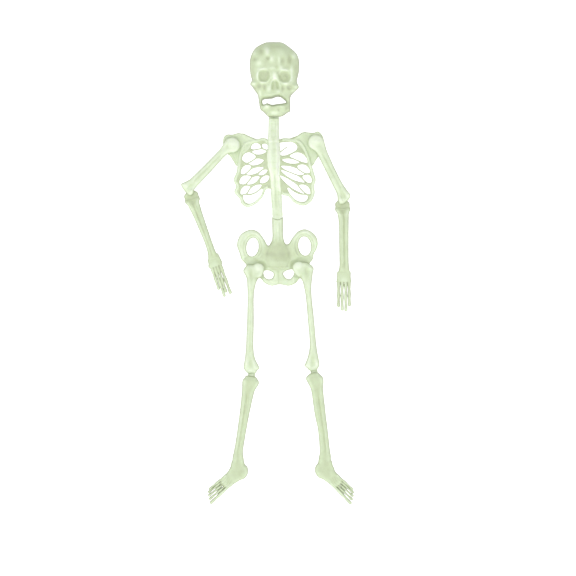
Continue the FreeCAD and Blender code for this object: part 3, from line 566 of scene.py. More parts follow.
def make_torso(material):
    x, z = plane(-104, 102, -340, -112)
    low, high = station_edges(z, SPINE_STATIONS)
    waist = PIVOT["waist"]
    spine = np.maximum(np.maximum(low - x, x - high), z + SPINE_STATIONS[0][0])
    below = disc_field(x, z, waist[0], waist[1], WAIST_END_R)
    spine = np.where(z < waist[1], below, spine)
    cage_r = ring_field(x, z, RIB_EDGE_R)
    cage_l = ring_field(x, z, RIB_EDGE_L)
    cage = np.minimum(cage_r, cage_l)
    openings = [leaf_field(x, z, *slot) for slot in SLOTS]
    openings += [ring_field(x, z, loop) for loop in LOOPS]
    nearest = np.sort(np.stack(openings), axis=0)[:2]
    gaps = smax(nearest[0] - SLOT_GROWTH, (BAR_WIDTH - (nearest[1] - nearest[0])) / 2, 0.8)
    gaps = smax(gaps, -bar_field(x, z, 12.0, -205.0, 26.0, -194.4, 1.3, 0.8), 0.6)
    blades = [ring_field(x, z, SCAPULA_R), ring_field(x, z, SCAPULA_L)]

    # the curved rib sheet, thin where its bars cross, with a raised round rim
    reach2 = (x - RIB_CENTRE[0]) ** 2 + (z - RIB_CENTRE[1]) ** 2
    ball = RIB_DEPTH - RIB_BALL_R + np.sqrt(RIB_BALL_R ** 2 - reach2)
    rim = np.abs(cage + 3.2) - 3.2
    rim = np.where(np.abs(x - 2) < 14, 9.0, rim)
    bars = smax(cage, -gaps, 0.6)
    bar_round = round_over(-bars, 1.8)
    rim_round = round_over(-smax(rim, -gaps - 0.4, 0.6), 3.2)
    sheet = ball - 3.4 + 2.2 * bar_round
    sheet = np.maximum(sheet, ball - 3.6 + 4.6 * rim_round)
    sheet = np.maximum(sheet + 0.15 * wander(x, z, 3.1, 2.2), 2.0)
    piece = Moulding(x, z, 0.0, -24.0)
    front = -sheet[:, None, :] - piece.y
    back = piece.y + (np.maximum(ball - 4.6, 0.2))[:, None, :]
    piece.field = smax(smax(front, bars[:, None, :], 0.7), back, 0.6)

    # scapula plates: thin, with raised borders and a spine ridge
    for blade, ridge in zip(blades, BLADE_SPINES):
        body = smax(blade, -gaps, 0.6)
        border = crest(blade, -2.2, 1.6)
        lift = 3.1 + 0.9 * np.maximum(border, np.exp(-(path_distance(x, z, ridge) / 2.0) ** 2))
        top = -(lift[:, None, :]) - piece.y
        flat = smax(top, body[:, None, :], 0.6)
        flat = smax(flat, piece.y, 0.4)
        flat = smax(flat, -smax((body + 1.6)[:, None, :], -1.4 - piece.y, 0.4), 0.4)
        piece.add(flat, 0.8)
    # collar bones
    for path in COLLAR_PATHS:
        bar = path_distance(x, z, path)
        deep = piece.y + np.maximum(ball, 4.6)[:, None, :] - 2.6
        round_bar = np.hypot(bar[:, None, :], deep) - COLLAR_R
        piece.add(smax(round_bar, piece.y + 0.6, 0.5), 1.2)

    # spine, breastbone and neck
    steps = station_depth(z, SPINE_STATIONS)
    side = np.minimum(x - low, high - x)
    height = 2.4 + (steps - 2.4) * round_over(side, 8.0)
    grooves = sum(furrow(x, z, *line) for line in SPINE_FURROWS)
    for level in np.arange(-150.0, -330.0, -VERTEBRA_PITCH):
        grooves -= 0.35 * np.exp(-((z - level) / 1.2) ** 2)
    grooves += lumps(x, z, [(-1.0, -196, 8, 12, 0.9), (-1.0, -222, 7, 14, 1.0),
                            (3, -242, 5, 7, 1.2), (-13, -190, 3, 4, 0.6),
                            (-1, -184, 12, 3, 0.8)])
    grooves *= np.clip((z - waist[1] - 9) / 8, 0, 1)
    height = np.maximum(height + grooves + 0.2 * wander(x, z, 2.7, 4.0), 2.0)
    column = Moulding(x, z, 0.0, -24.0)
    inner = column.shell(spine, height, TORSO_WALL)
    column.bore(waist, WAIST_SWEEP_R, POST_END, 8.0)
    neck_lap = bar_field(x, z, 0.0, -126.0, -0.4, -150.0, 8.0, 8.6)
    shelf = np.maximum(np.abs(x + 0.4) - 9.8, np.abs(z + 142.0) - 8.0)
    column.add(column.rod(np.minimum(neck_lap, shelf), PLATE_FRONT, PLATE_BACK))
    web = np.maximum(np.abs(x + 0.6) - 8.8, np.abs(z + 147.0) - 2.6)
    column.add(column.rod(web, -5.8, -2.0))
    column.post(waist, POST_R, POST_END, -9.0)
    # the cage sheet stops at the spine's hollow
    hollow = (spine + TORSO_WALL)[:, None, :]
    piece.cut(smax(hollow, -(inner[:, None, :] + piece.y), 0.4))
    piece.add(column.field, 0.9)
    piece.bore(waist, SHANK_R, WAIST_RIVET_TIP)
    piece.bore(PIVOT["neck"], BORE_R)
    for name in ("shoulder_r", "shoulder_l"):
        piece.lap_bore(PIVOT[name])

    # The rib bars are darker green, with painted light along their rounded tops and painted
    # shade at their edges.
    tone = 0.20 + 0.10 * bar_round
    # Scapula plates: a painted highlight on the raised border and painted shade along the
    # outline.
    for blade in blades:
        plate = 0.56 + 0.10 * crest(blade, -2.2, 1.6) - 0.40 * edge_shade_mask(blade)
        tone = np.where(blade < 0.2, plate, tone)
    # Painted highlight along the top of the rounded cage rim, shade at its edges.
    tone = np.maximum(tone, np.where(rim_round > 0.05, 0.34 + 0.36 * rim_round, 0))
    # Spine column: painted relief shading with a painted shade line along its sides.
    edges = np.minimum(np.minimum(low - x, x - high) * -1, 9.0)
    column_tone = painted_relief_shading(height, -edges, 0.60, 0.16, 0.36)
    tone = np.where(np.maximum(low - x, x - high) < 0, column_tone, tone)
    # Darker green lower spine, and painted shade on the neck under the chin.
    tone += lumps(x, z, [(0, -300, 14, 34, -0.14), (0, -128, 14, 12, -0.12)])
    finish_piece(piece, tone, "torso", "torso", material)


# ------------------------------------------------------------------- pelvis
PELVIS_EDGE = [
    (-3.6, -296), (-3.6, -316), (-3.6, -338), (-3.4, -352), (-3, -370),
    (-7, -382), (-12.4, -385.6),
    (-20, -373), (-30, -360.4), (-44, -355), (-60, -361),
    (-69, -372), (-71.6, -387), (-66.4, -402), (-63.6, -412),
    (-54.6, -422.6), (-48, -434), (-40, -445), (-26.4, -449.6),
    (-18, -458.6), (-5, -464), (10.6, -461.4), (28.6, -464),
    (42, -459), (48.6, -451), (58, -443), (66, -431),
    (69.4, -420.6), (75.6, -412), (77, -403), (84, -389),
    (84, -374), (76, -362), (61, -354.6), (47, -358.6),
    (36, -371), (28.6, -382.4), (22, -382), (18, -370),
    (17.6, -352), (17.7, -338), (17.7, -316), (17.7, -296),
]
PELVIS_RINGS = ((-41.8, -389, 11.8, 18.2, 8), (59.6, -387, 12.4, 18.6, -6))
OBTURATORS = [
    [(-20, -436), (-10, -434.6), (-0.8, -440), (-3, -448.6),
     (-11, -451.6), (-18.6, -446)],
    [(18, -439.4), (28, -433.4), (38.6, -433.6), (38, -443),
     (31, -451), (22.4, -448.6)],
]


# (x, z, half width, half height, rise)
PELVIS_LUMPS = [
    (-12, -402, 6, 6, -1.2), (28, -402, 6, 6, -1.2), (8, -418, 18, 4, 1),
    (-18, -396, 4, 12, 0.8), (36, -396, 4, 12, 0.8), (8, -392, 8, 8, 0.8),
    (-30, -418, 8, 4, 0.6), (50, -416, 8, 4, 0.6),
]
HIP_SWING_DEG = np.linspace(-12.0, 45.0, 10)     # inwards to outwards


def thigh_outline(t, down, side, steps=8):
    """Outline of a thigh, with its hip at the origin and its knee below."""
    shaft = ring_field(t, down, station_ring(THIGH_STATIONS[side]), steps)
    return smin(shaft, disc_field(t, down, 0, 0, FEMUR_HEAD_R), 2.0)


def thigh_sweep(x, z, side):
    """Distance to the area that a thigh passes over as it turns about its hip."""
    pivot, end = PIVOT["hip_" + side], PIVOT["knee_" + side]
    sign = -1.0 if side == "r" else 1.0
    swing = math.atan2((end[0] - pivot[0]) * sign, pivot[1] - end[1])
    out, up = (x - pivot[0]) * sign, z - pivot[1]
    # a plain wedge above the hip keeps the slope there gentle
    top, bottom = math.radians(62), math.radians(-100)
    wedge = np.maximum(up * math.cos(top) - out * math.sin(top),
                       out * math.sin(bottom) - up * math.cos(bottom))
    reach = np.hypot(out, up)
    area = np.minimum(reach - 14.6, np.maximum(wedge, reach - 30.5))
    for turn in np.radians(HIP_SWING_DEG) + swing:
        t = out * math.cos(turn) + up * math.sin(turn)
        down = up * math.cos(turn) - out * math.sin(turn)
        area = np.minimum(area, thigh_outline(t, down, side, 3) - 1.0)
    return area


def make_pelvis(material):
    x, z = plane(-78, 92, -470, -310)
    outline = ring_field(x, z, PELVIS_EDGE)
    holes = np.full(x.shape, 1e3, dtype=np.float32)
    for ring in PELVIS_RINGS:
        holes = np.minimum(holes, oval_field(x, z, *ring))
    for edge in OBTURATORS:
        holes = np.minimum(holes, ring_field(x, z, edge))
    body = smax(outline, -holes, 1.0)
    waist = PIVOT["waist"]
    body = np.maximum(body, -disc_field(x, z, waist[0], waist[1], WAIST_END_R + 0.6))
    body = np.maximum(body, z + 327.5)
    sweep = np.minimum(thigh_sweep(x, z, "r"), thigh_sweep(x, z, "l"))

    rim = np.maximum(outline, -holes)
    plain = 3.0 + 3.6 * round_over(-rim, 5.5)
    spine_axis = np.interp(-z, [330, 370, 440], [7.0, 7.8, 8.4])
    width = np.interp(-z, [340, 366, 380, 394, 412, 424, 440, 470],
                      [10.6, 10.4, 14.0, 25.0, 31.0, 24.0, 13.0, 8.0])
    u = np.clip(np.abs(x - spine_axis) / width, 0, 1)
    column = 10.4 * np.sqrt(1 - u ** 2) * np.clip((z + 452) / 26, 0, 1)
    height = np.maximum(plain, np.minimum(column, 3.0 + 7.6 * round_over(-rim, 7.0)))
    detail = lumps(x, z, PELVIS_LUMPS)
    detail += furrow(x, z, [(3.4, -342.0), (4.2, -376.0)], 1.3, 0.9)
    detail += furrow(x, z, [(11.4, -342.0), (12.0, -376.0)], 1.3, 0.9)
    for cx, cz, rx, rz, tilt in PELVIS_RINGS:
        track = oval_field(x, z, cx, cz, rx + 5.4, rz + 5.2, tilt)
        detail += -0.9 * np.exp(-(track / 1.1) ** 2)
        outer = oval_field(x, z, cx, cz, rx + 9.0, rz + 8.4, tilt)
        detail += 0.5 * np.exp(-(outer / 1.4) ** 2)
    for level in (-426.0, -431.0):
        detail += furrow(x, z, [(-22.0, level), (8.0, level - 1.5), (38.0, level)], 1.0, 0.8)
    detail += furrow(x, z, [(8.6, -436.0), (8.8, -458.0)], 1.4, 1.0)
    arch = [(-14.0, -456.0), (-2.0, -459.4), (10.0, -457.4), (30.0, -459.6)]
    detail += furrow(x, z, arch, 1.0, 0.7)
    height = np.maximum(height + detail + 0.15 * wander(x, z, 3.0, 1.1), 2.0)
    height = np.minimum(height, 3.9 + 0.55 * np.maximum(sweep, 0))
    piece = Moulding(x, z, 0.0, -12.0)
    piece.shell(body, height, WALL)
    for name in ("hip_r", "hip_l"):
        disc = np.maximum(disc_field(x, z, *PIVOT[name], 9.0), body + 0.5)
        piece.add(piece.rod(disc, PLATE_FRONT, 0.0))
    lap = bar_field(x, z, waist[0], waist[1], 7.0, -352.0, 8.0, 8.4)
    shelf = np.maximum(np.abs(x - 7.0) - 10.4, np.abs(z + 338.0) - 6.0)
    piece.add(piece.rod(np.minimum(lap, shelf), PLATE_FRONT, PLATE_BACK))
    web = np.maximum(np.abs(x - 7.0) - 8.5, np.abs(z + 346.5) - 3.5)
    piece.add(piece.rod(web, -5.8, -2.0))
    for level in (-364.0, -400.0):
        rib = np.maximum(np.abs(z - level) - 0.8, body + 0.8)
        rib = np.maximum(rib, np.abs(x - 8.0) - 20.0)
        piece.stiffen(rib, -10.0, -1.2)
    piece.bore(waist, BORE_R)
    for name in ("hip_r", "hip_l"):
        piece.lap_bore(PIVOT[name])
    # Painted relief shading: highlights on ridges, shade in hollows and a shade line along the
    # outline.
    tone = painted_relief_shading(height, rim, 0.56, 0.16, 0.36)
    tone += lumps(x, z, [(10, -402, 34, 20, -0.38), (9, -384, 14, 10, -0.12),
                         (9, -428, 34, 6, -0.16), (-36, -416, 14, 9, -0.10),
                         (56, -414, 14, 9, -0.10)])
    finish_piece(piece, tone, "pelvis", "pelvis", material)


# -------------------------------------------------------------------- limbs
def limb_placer(pivot, end, mirrored):
    """Map limb coordinates (outward, -along) to the figure's X and Z."""
    swing = math.atan2(end[0] - pivot[0], pivot[1] - end[1])
    c, s = math.cos(swing), math.sin(swing)
    sign = -1.0 if mirrored else 1.0

    def place(t, down):
        u = t * sign
        return pivot[0] + u * c - down * s, pivot[1] + u * s + down * c
    return place


def station_ring(stations):
    """Closed outline down the outer edge and back up the inner edge."""
    outer = [(t1, -s) for s, _, t1, _ in stations]
    inner = [(t0, -s) for s, t0, _, _ in reversed(stations)]
    return outer + inner


def station_depth(z, stations):
    return np.interp(-z, [st[0] for st in stations], [st[3] for st in stations])


def station_edges(z, stations):
    """Left and right edge at every height, for a piece drawn with its stations."""
    s = [st[0] for st in stations]
    low = np.interp(-z, s, [st[1] for st in stations])
    return low, np.interp(-z, s, [st[2] for st in stations])


def limb_length(pivot, end):
    return math.hypot(end[0] - pivot[0], end[1] - pivot[1])


ARM_STATIONS = {
    "r": [(2, -9, 13, 9.6), (24, -4, 12.4, 9.6), (60, -3.4, 13.8, 9.6),
          (92, -2.6, 15.8, 9.6), (104, -2, 17, 9.4), (113, -2.4, 20, 9),
          (119, -4.6, 22.6, 8.4), (124, -6, 22.6, 7.4), (128.4, -3.6, 9, 6.4)],
    "l": [(2, -10, 14, 9.6), (24, -6.8, 13, 9.6), (60, -5.2, 12.8, 9.6),
          (90, -4.2, 14, 9.6), (106, -3.6, 16.4, 9.4), (114, -5.4, 18, 9),
          (120, -7.4, 19.4, 8.4), (126, -7.4, 15, 7.4), (129.4, -5, 6, 6.4)],
}


def make_upper_arm(side, material):
    pivot, end = PIVOT["shoulder_" + side], PIVOT["elbow_" + side]
    stations = ARM_STATIONS[side]
    length = limb_length(pivot, end)
    x, z = plane(-24, 30, -(length + 14), 22)
    shaft = ring_field(x, z, station_ring(stations))
    ball = disc_field(x, z, 0, 0, HUMERUS_HEAD_R)
    knuckle = disc_field(x, z, 0, -length, 6.5)
    outline = smin(smin(shaft, ball, 3.0), knuckle, 1.5)

    bone = 2.6 + (station_depth(z, stations) - 2.6) * round_over(-outline, 7.0)
    head = 3.0 + 8.0 * np.sqrt(np.maximum(0, 1 - ((ball + HUMERUS_HEAD_R) / 15.6) ** 2))
    bone = np.maximum(bone, np.where(ball < 1.0, head, 0))
    detail = lumps(x, z, [(15, -(length - 4), 4.5, 4.5, 1.4), (4, -(length - 12), 4.5, 8, -1.5),
                          (-1, -(length - 2), 3.4, 5, 1.0), (8, -22, 3, 12, -0.7),
                          (9, -50, 3, 20, 0.5), (6, -88, 4.5, 16, -0.6), (-3, 4, 5, 5, 0.5),
                          (4, -8, 5, 5, -0.6)])
    detail += furrow(x, z, [(3.0, -26.0), (6.0, -70.0), (8.0, -100.0)], 1.6, 0.8)
    detail += furrow(x, z, [(2.0, -(length - 9)), (1.0, -(length + 1))], 1.0, 0.8)
    detail += furrow(x, z, [(9.0, -(length - 12)), (8.0, -(length - 2))], 1.2, 0.8)
    detail += 0.2 * wander(x, z, 3.3, 0.4)
    outer = np.maximum(bone + detail, 2.0)
    piece = Moulding(x, z, LIMB_BACK, -17.0)
    piece.shell(outline, outer, WALL)
    piece.post(HUB, POST_R, POST_END, -13.4)
    end_post = np.maximum(disc_field(x, z, 0, -length, POST_R + 0.6), outline + 0.5)
    piece.stiffen(end_post, POST_END, LIMB_BACK - 8.0)
    piece.cross_ribs((-34.0, -66.0, -98.0), outline)
    piece.bore(HUB, SHANK_R, RIVET_TIP, 0.0)
    piece.bore((0, -length), SHANK_R, ELBOW_RIVET_TIP, 0.0)
    # Painted relief shading; the painted shade line is weaker round the ball.
    tone = painted_relief_shading(outer, outline, 0.53, 0.15, 0.36 * np.clip(ball / 4, 0.35, 1))
    tone += lumps(x, z, [(0, 0, 15, 15, 0.20), (8, -(length - 4), 14, 12, 0.04),
                         (5, -66, 12, 34, -0.08)])
    place = limb_placer(pivot, end, side == "r")
    finish_piece(piece, tone, "upper_arm_" + side, "upper_arm_" + side, material, place)


FOREARM_STATIONS = {
    "r": [(14, -11.8, 13.4, 4.6), (26, -10.8, 11.6, 9.8), (50, -10.4, 7.8, 10.2),
          (80, -11.2, 4.6, 9.6), (104, -11.8, 2.2, 8.8), (122, -12.8, 2.6, 7.4),
          (132, -14, 4.6, 5.4), (142, -16.4, 7, 4.2), (152, -16.6, 7.8, 4)],
    "l": [(14, -12.4, 13.6, 4.6), (26, -9.6, 12.4, 9.8), (45, -7.6, 11.4, 10.2),
          (80, -8, 10.2, 9.6), (110, -8.2, 9.4, 8.4), (126, -8.6, 9.6, 6.6),
          (140, -12, 11.2, 4.2), (152, -14.4, 12.8, 4), (158, -13.6, 12, 4)],
}
ELBOW_PLATE = [(0, 6.8), (6, 3), (9.8, 0), (13.8, -3.6), (14.2, -10), (13, -20),
               (-11.6, -20), (-13.6, -10), (-13.4, -4), (-9.6, 0), (-6, 3)]
# finger: root s, root t, tip s, tip t, root radius, tip radius
HANDS = {
    "r": [(138, 4, 195, 3, 3, 2.5), (138, -1.6, 211, -3.6, 3.1, 2.5),
          (138, -7.4, 204, -9, 3, 2.6), (136, -13, 209, -16.6, 3.4, 2.7),
          (132, -13, 146, -16, 3.6, 2.8)],
    "l": [(140, -10.6, 203, -12.6, 3.1, 2.8), (140, -4, 210, -5.6, 3, 2.6),
          (140, 3, 212, 1.6, 3, 2.6), (140, 9.4, 202, 8.6, 3.1, 2.8)],
}


def digit_relief(x, z, bars, root_height, tip_height, joints=3):
    """Fingers or toes: distance field and height with knuckle swellings."""
    field = np.full(x.shape, 1e3, dtype=np.float32)
    height = np.zeros(x.shape, dtype=np.float32)
    for x0, z0, x1, z1, r0, r1 in bars:
        dx, dz = x1 - x0, z1 - z0
        t = np.clip(((x - x0) * dx + (z - z0) * dz) / (dx * dx + dz * dz), 0, 1)
        knuckle = 0.35 * np.cos(t * joints * 2 * math.pi)
        dist = np.hypot(x - x0 - t * dx, z - z0 - t * dz) - (r0 + (r1 - r0) * t + knuckle)
        top = root_height + (tip_height - root_height) * t + 0.8 * knuckle
        height = np.where(dist < field, 1.6 + (top - 1.6) * round_over(-dist, 2.4), height)
        field = np.minimum(field, dist)
    return field, height


def make_forearm(side, material):
    pivot = PIVOT["elbow_" + side]
    end = {"r": (-122.5, -412.0), "l": (136.1, -433.5)}[side]
    stations = FOREARM_STATIONS[side]
    x, z = plane(-26, 20, -216, 12)
    shaft = ring_field(x, z, station_ring(stations))
    plate = ring_field(x, z, ELBOW_PLATE)
    bars = [(t0, -s0, t1, -s1, r0, r1) for s0, t0, s1, t1, r0, r1 in HANDS[side]]
    digits, digit_height = digit_relief(x, z, bars, 4.0, 3.4)
    bone = smin(shaft, plate, 2.0)
    outline = smin(bone, digits, 1.0)

    full = np.where(z > -14, 3.9, station_depth(z, stations))
    base = 2.4 + (full - 2.4) * round_over(-bone, 7.0)
    middle = np.interp(-z, [st[0] for st in stations], [(st[1] + st[2]) / 2 for st in stations])
    across = x - middle
    shaft_zone = np.clip((-z - 20) / 12, 0, 1) * np.clip((134 + z) / 14, 0, 1)
    detail = shaft_zone * (-1.7 * crest(across, 0.6, 1.7)
                           - 0.7 * crest(across, -4.6, 1.0))
    detail += lumps(x, z, [(-9.4, -20, 3.2, 8, 1.6), (10.2, -20, 3.2, 8, 1.6),
                           (0, -22, 4, 8, -1.8),
                           (0, -32, 3.4, 9, 1), (-8, -124, 3.4, 6, 0.8),
                           (4, -126, 3.4, 6, 0.8)])
    detail += 0.18 * wander(x, z, 2.9, 3.4)
    detail *= np.clip((-z - 12) / 6, 0, 1) * np.clip((142 + z) / 8, 0, 1)
    corner = lumps(x, z, [(11.6, -8, 2.4, 5, 1.0), (-11.4, -8, 2.4, 5, 1.0)])
    outer = np.maximum(base + detail, 1.8)
    reach = np.hypot(x, z)
    outer = np.where(reach > 15.4, outer + corner, outer)
    outer = np.where(reach < 15.0, np.minimum(outer, 3.95), outer)
    palm = np.clip((-z - 134) / 6, 0, 1)
    ridge = np.where(digits < 0, 0.5 * round_over(-digits, 2.0), 0) * palm
    outer = np.maximum(np.where(bone < 0, outer + ridge, 0), digit_height)
    outer = np.where(-z > 137, np.minimum(outer, 4.05), outer)
    piece = Moulding(x, z, 0.0, -13.0)
    piece.shell(outline, outer, WALL, np.maximum(bone, -z - 148), 0.7)
    seat = np.maximum(disc_field(x, z, 0, 0, 9.5), bone + 0.4)
    piece.add(piece.rod(seat, PLATE_FRONT, PLATE_BACK))
    piece.cross_ribs((-40.0, -74.0, -108.0), bone)
    piece.bore(HUB, POCKET_R, PLATE_BACK)
    piece.bore(HUB, BORE_R)
    # Painted relief shading, painted shade below the elbow where the upper arm's end lies over
    # the forearm, and along the shaft's middle groove.
    tone = painted_relief_shading(outer, outline, 0.35, 0.15, 0.34)
    tone += lumps(x, z, [(0, -8, 12, 9, -0.10), (0, -60, 6, 40, -0.06)])
    tone += 0.18 * np.clip((-z - 128) / 24, 0, 1) * np.exp(-((x + 1.0) / 8.5) ** 4)
    place = limb_placer(pivot, end, side == "r")
    finish_piece(piece, tone, "forearm_" + side, "forearm_hand_" + side, material, place)


THIGH_STATIONS = {
    "r": [(-8, -6, 19, 8), (-2, -9, 25.4, 9.6), (5, -10.4, 28.4, 10.4),
          (13, -9, 24, 10.6), (21, 0, 20.6, 10.6), (38, 4.2, 18.2, 10.2),
          (58, 5, 16.6, 10), (100, 2.2, 15.2, 10), (150, 0.2, 14.4, 10),
          (172, -4, 15, 10), (184, -10.4, 16.2, 9.6), (191, -14.2, 16.6, 9),
          (196, -10.4, 15, 8), (203, -5.4, 7, 6)],
    "l": [(-9, -4.6, 13.4, 8), (-2, -8, 24, 9.6), (6, -10, 28.4, 10.4),
          (14, -7.6, 25.6, 10.6), (24, 2, 22.8, 10.6), (38, 4.2, 19, 10.2),
          (60, 4.8, 16, 10), (104, 2, 13.8, 10), (150, -1.6, 10.8, 10),
          (172, -8.4, 10.6, 10), (184, -15, 11, 9.6), (190, -18.4, 11, 9),
          (195, -14, 9.4, 8), (201, -8.6, 3.4, 6)],
}


def make_thigh(side, material):
    pivot, end = PIVOT["hip_" + side], PIVOT["knee_" + side]
    stations = THIGH_STATIONS[side]
    length = limb_length(pivot, end)
    x, z = plane(-24, 34, -(length + 12), 20)
    ball = disc_field(x, z, 0, 0, FEMUR_HEAD_R)
    knee_clearance = disc_field(x, z, 0, -length, KNEE_SWEEP_R)
    outline = smax(thigh_outline(x, z, side), -knee_clearance, 0.5)

    bone = 2.6 + (station_depth(z, stations) - 2.6) * round_over(-outline, 6.6)
    head = 3.0 + 7.6 * np.sqrt(np.maximum(0, 1 - ((ball + FEMUR_HEAD_R) / 13.0) ** 2))
    bone = np.maximum(bone, np.where(ball < 0.5, head, 0))
    low = stations[-4]
    mid_low = (low[1] + low[2]) / 2
    detail = lumps(x, z, [(22, -3, 4.5, 6, 1.2), (13, -10, 3, 8, -1.2), (1, -18, 3.4, 3.4, -1.6),
                          (14, -30, 3, 12, 0.7), (mid_low - 8, -188, 4, 7, 1.3),
                          (mid_low + 8, -187, 4, 7, 1.3), (mid_low, -182, 3.4, 9, -1.4),
                          (mid_low, -197, 3, 4, 0.8), (8, -140, 3, 26, -0.5)])
    detail += furrow(x, z, [(9.5, -40.0), (8.4, -100.0), (6.0, -160.0)], 1.4, 0.8)
    detail += 0.2 * wander(x, z, 3.6, 5.0)
    outer = np.maximum(bone + detail, 2.0)
    piece = Moulding(x, z, LIMB_BACK, -17.0)
    piece.shell(outline, outer, WALL)
    piece.post(HUB, POST_R, POST_END, -13.2)
    piece.cross_ribs((-46.0, -92.0, -138.0, -178.0), outline)
    last = stations[-1]
    mid = (last[1] + last[2]) / 2
    tongue = bar_field(x, z, mid, -(last[0] - 8), 0, -length, 6.2, 7.4)
    piece.add(piece.rod(tongue, PLATE_FRONT, PLATE_BACK))
    gusset = bar_field(x, z, mid, -(last[0] - 8), mid, -(last[0] - 4), 5.0, 4.6)
    piece.add(piece.rod(np.maximum(gusset, -knee_clearance), -6.4, PLATE_BACK))
    piece.bore((0, -length), BORE_R)
    piece.bore(HUB, SHANK_R, RIVET_TIP, 0.0)
    # Painted relief shading. Paler hip ball and knee end; painted light on the knee tongue,
    # which sits back in shadow; painted shade in the pit below the ball.
    tone = painted_relief_shading(outer, np.minimum(outline, tongue), 0.46, 0.14, 0.36)
    tone += lumps(x, z, [(0, 1, 10, 9, 0.34), (mid_low, -188, 12, 14, 0.14),
                         (mid, -210, 9, 8, 0.50), (1, -18, 4, 4, -0.16)])
    place = limb_placer(pivot, end, side == "r")
    finish_piece(piece, tone, "thigh_" + side, "thigh_" + side, material, place)


SHIN_STATIONS = {
    "r": [(-10.6, -6.4, 10.6, 8.6), (-6, -11.6, 14, 9.2), (-1, -15, 17, 10.2),
          (6, -13.8, 17, 10.2), (16, -9.6, 15.6, 10.2), (34, -8, 14, 10),
          (70, -6.4, 12, 9.8), (110, -6, 10.8, 9.6), (136, -6.6, 10.8, 9.4),
          (150, -10.2, 11.6, 9.2), (166, -16, 9.8, 8.8), (178, -20, 12, 8)],
    "l": [(-15, -8, 3.6, 8.6), (-10, -17, 9, 9.2), (-4, -19.4, 13.4, 10.2),
          (4, -16.6, 13.8, 10.2), (14, -13, 12, 10.2), (24, -11.8, 11, 10),
          (66, -10.6, 10.7, 9.8), (98, -7.8, 10.8, 9.6), (136, -9.2, 10.6, 9.4),
          (149, -12.2, 11.2, 9.2), (164, -16.6, 10.2, 8.8), (177, -20, 13, 8)],
}
FOOT_EDGE = [(9.6, -158), (12.6, -172), (18.6, -184), (26, -194), (27, -202),
             (20, -209), (11, -211), (2, -203), (-9, -193), (-18.6, -186.6),
             (-22.8, -175), (-17, -162)]
TOES = [
    (19, -188, 44.8, -218, 2.5, 2.1),
    (17, -193, 45.4, -224.6, 2.4, 2.1),
    (14, -197, 44, -231, 2.4, 2.1),
    (10, -200, 41.6, -237.4, 2.5, 2.2),
    (5, -201, 37.8, -244, 3.3, 2.8),
]


def make_shin(side, material):
    pivot = PIVOT["knee_" + side]
    end = {"r": (-68.0, -793.0), "l": (98.4, -787.5)}[side]
    stations = SHIN_STATIONS[side]
    x, z = plane(-28, 52, -252, 22)
    shaft = ring_field(x, z, station_ring(stations))
    foot = ring_field(x, z, FOOT_EDGE)
    toes, toe_height = digit_relief(x, z, TOES, 7.4, 4.6, 2)
    bone = smin(shaft, foot, 3.0)
    outline = smin(bone, toes, 0.8)

    full = station_depth(z, stations)
    full = np.where(z < -178, np.interp(-z, [178, 200, 222], [8.2, 7.4, 6.2]), full)
    base = 2.6 + (full - 2.6) * round_over(-bone, 6.6)
    middle = np.interp(-z, [st[0] for st in stations], [(st[1] + st[2]) / 2 for st in stations])
    across = x - middle
    shaft_zone = np.clip((-z - 22) / 14, 0, 1) * np.clip((150 + z) / 16, 0, 1)
    detail = shaft_zone * (-1.2 * crest(across, 1.0, 1.3)
                           - 0.6 * crest(across, -4.2, 1.0)
                           + 0.5 * crest(across, 4.6, 1.4))
    detail += lumps(x, z, [(0, 0, 7.5, 7.5, 1.3), (11.5, -4, 3, 7, 0.9),
                           (-12, -4, 3, 6, 0.9), (-8, -156, 3.6, 5, 1),
                           (6, -154, 3.6, 5, 1), (-13, -178, 6, 5, 0.8), (2, -176, 5, 7, -0.8),
                           (8, -186, 4, 6, 0.7)])
    gaps = np.zeros(x.shape, dtype=np.float32)
    for x0, z0, x1, z1, _, _ in TOES:
        gap = [(x0 - 4.0, z0 + 6.0), (x0 - 1.0, z0 - 4.2), (x1 - 4.0, z1 - 0.8)]
        gaps = np.minimum(gaps, furrow(x, z, gap, 0.9, 0.7))
    detail += gaps * np.clip((-z - 184) / 8, 0, 1)
    detail += 0.2 * wander(x, z, 3.4, 1.9)
    outer = np.maximum(base + detail, 2.0)
    outer = np.maximum(np.where(bone < 0, outer, 0), toe_height)
    piece = Moulding(x, z, LIMB_BACK, -17.0)
    piece.shell(outline, outer, WALL, bone, 0.7)
    piece.post(HUB, POST_R, POST_END, -13.6)
    piece.cross_ribs((-40.0, -80.0, -120.0, -160.0, -196.0), bone)
    piece.bore(HUB, SHANK_R, RIVET_TIP, 0.0)
    # Painted relief shading: highlights on ridges, shade in hollows and a shade line along the
    # outline.
    tone = painted_relief_shading(outer, outline, 0.35, 0.14, 0.34)
    tone += lumps(x, z, [(0, -70, 8, 50, -0.02), (24, -212, 20, 20, 0.10)])
    place = limb_placer(pivot, end, side == "r")
    finish_piece(piece, tone, "shin_" + side, "shin_foot_" + side, material, place)


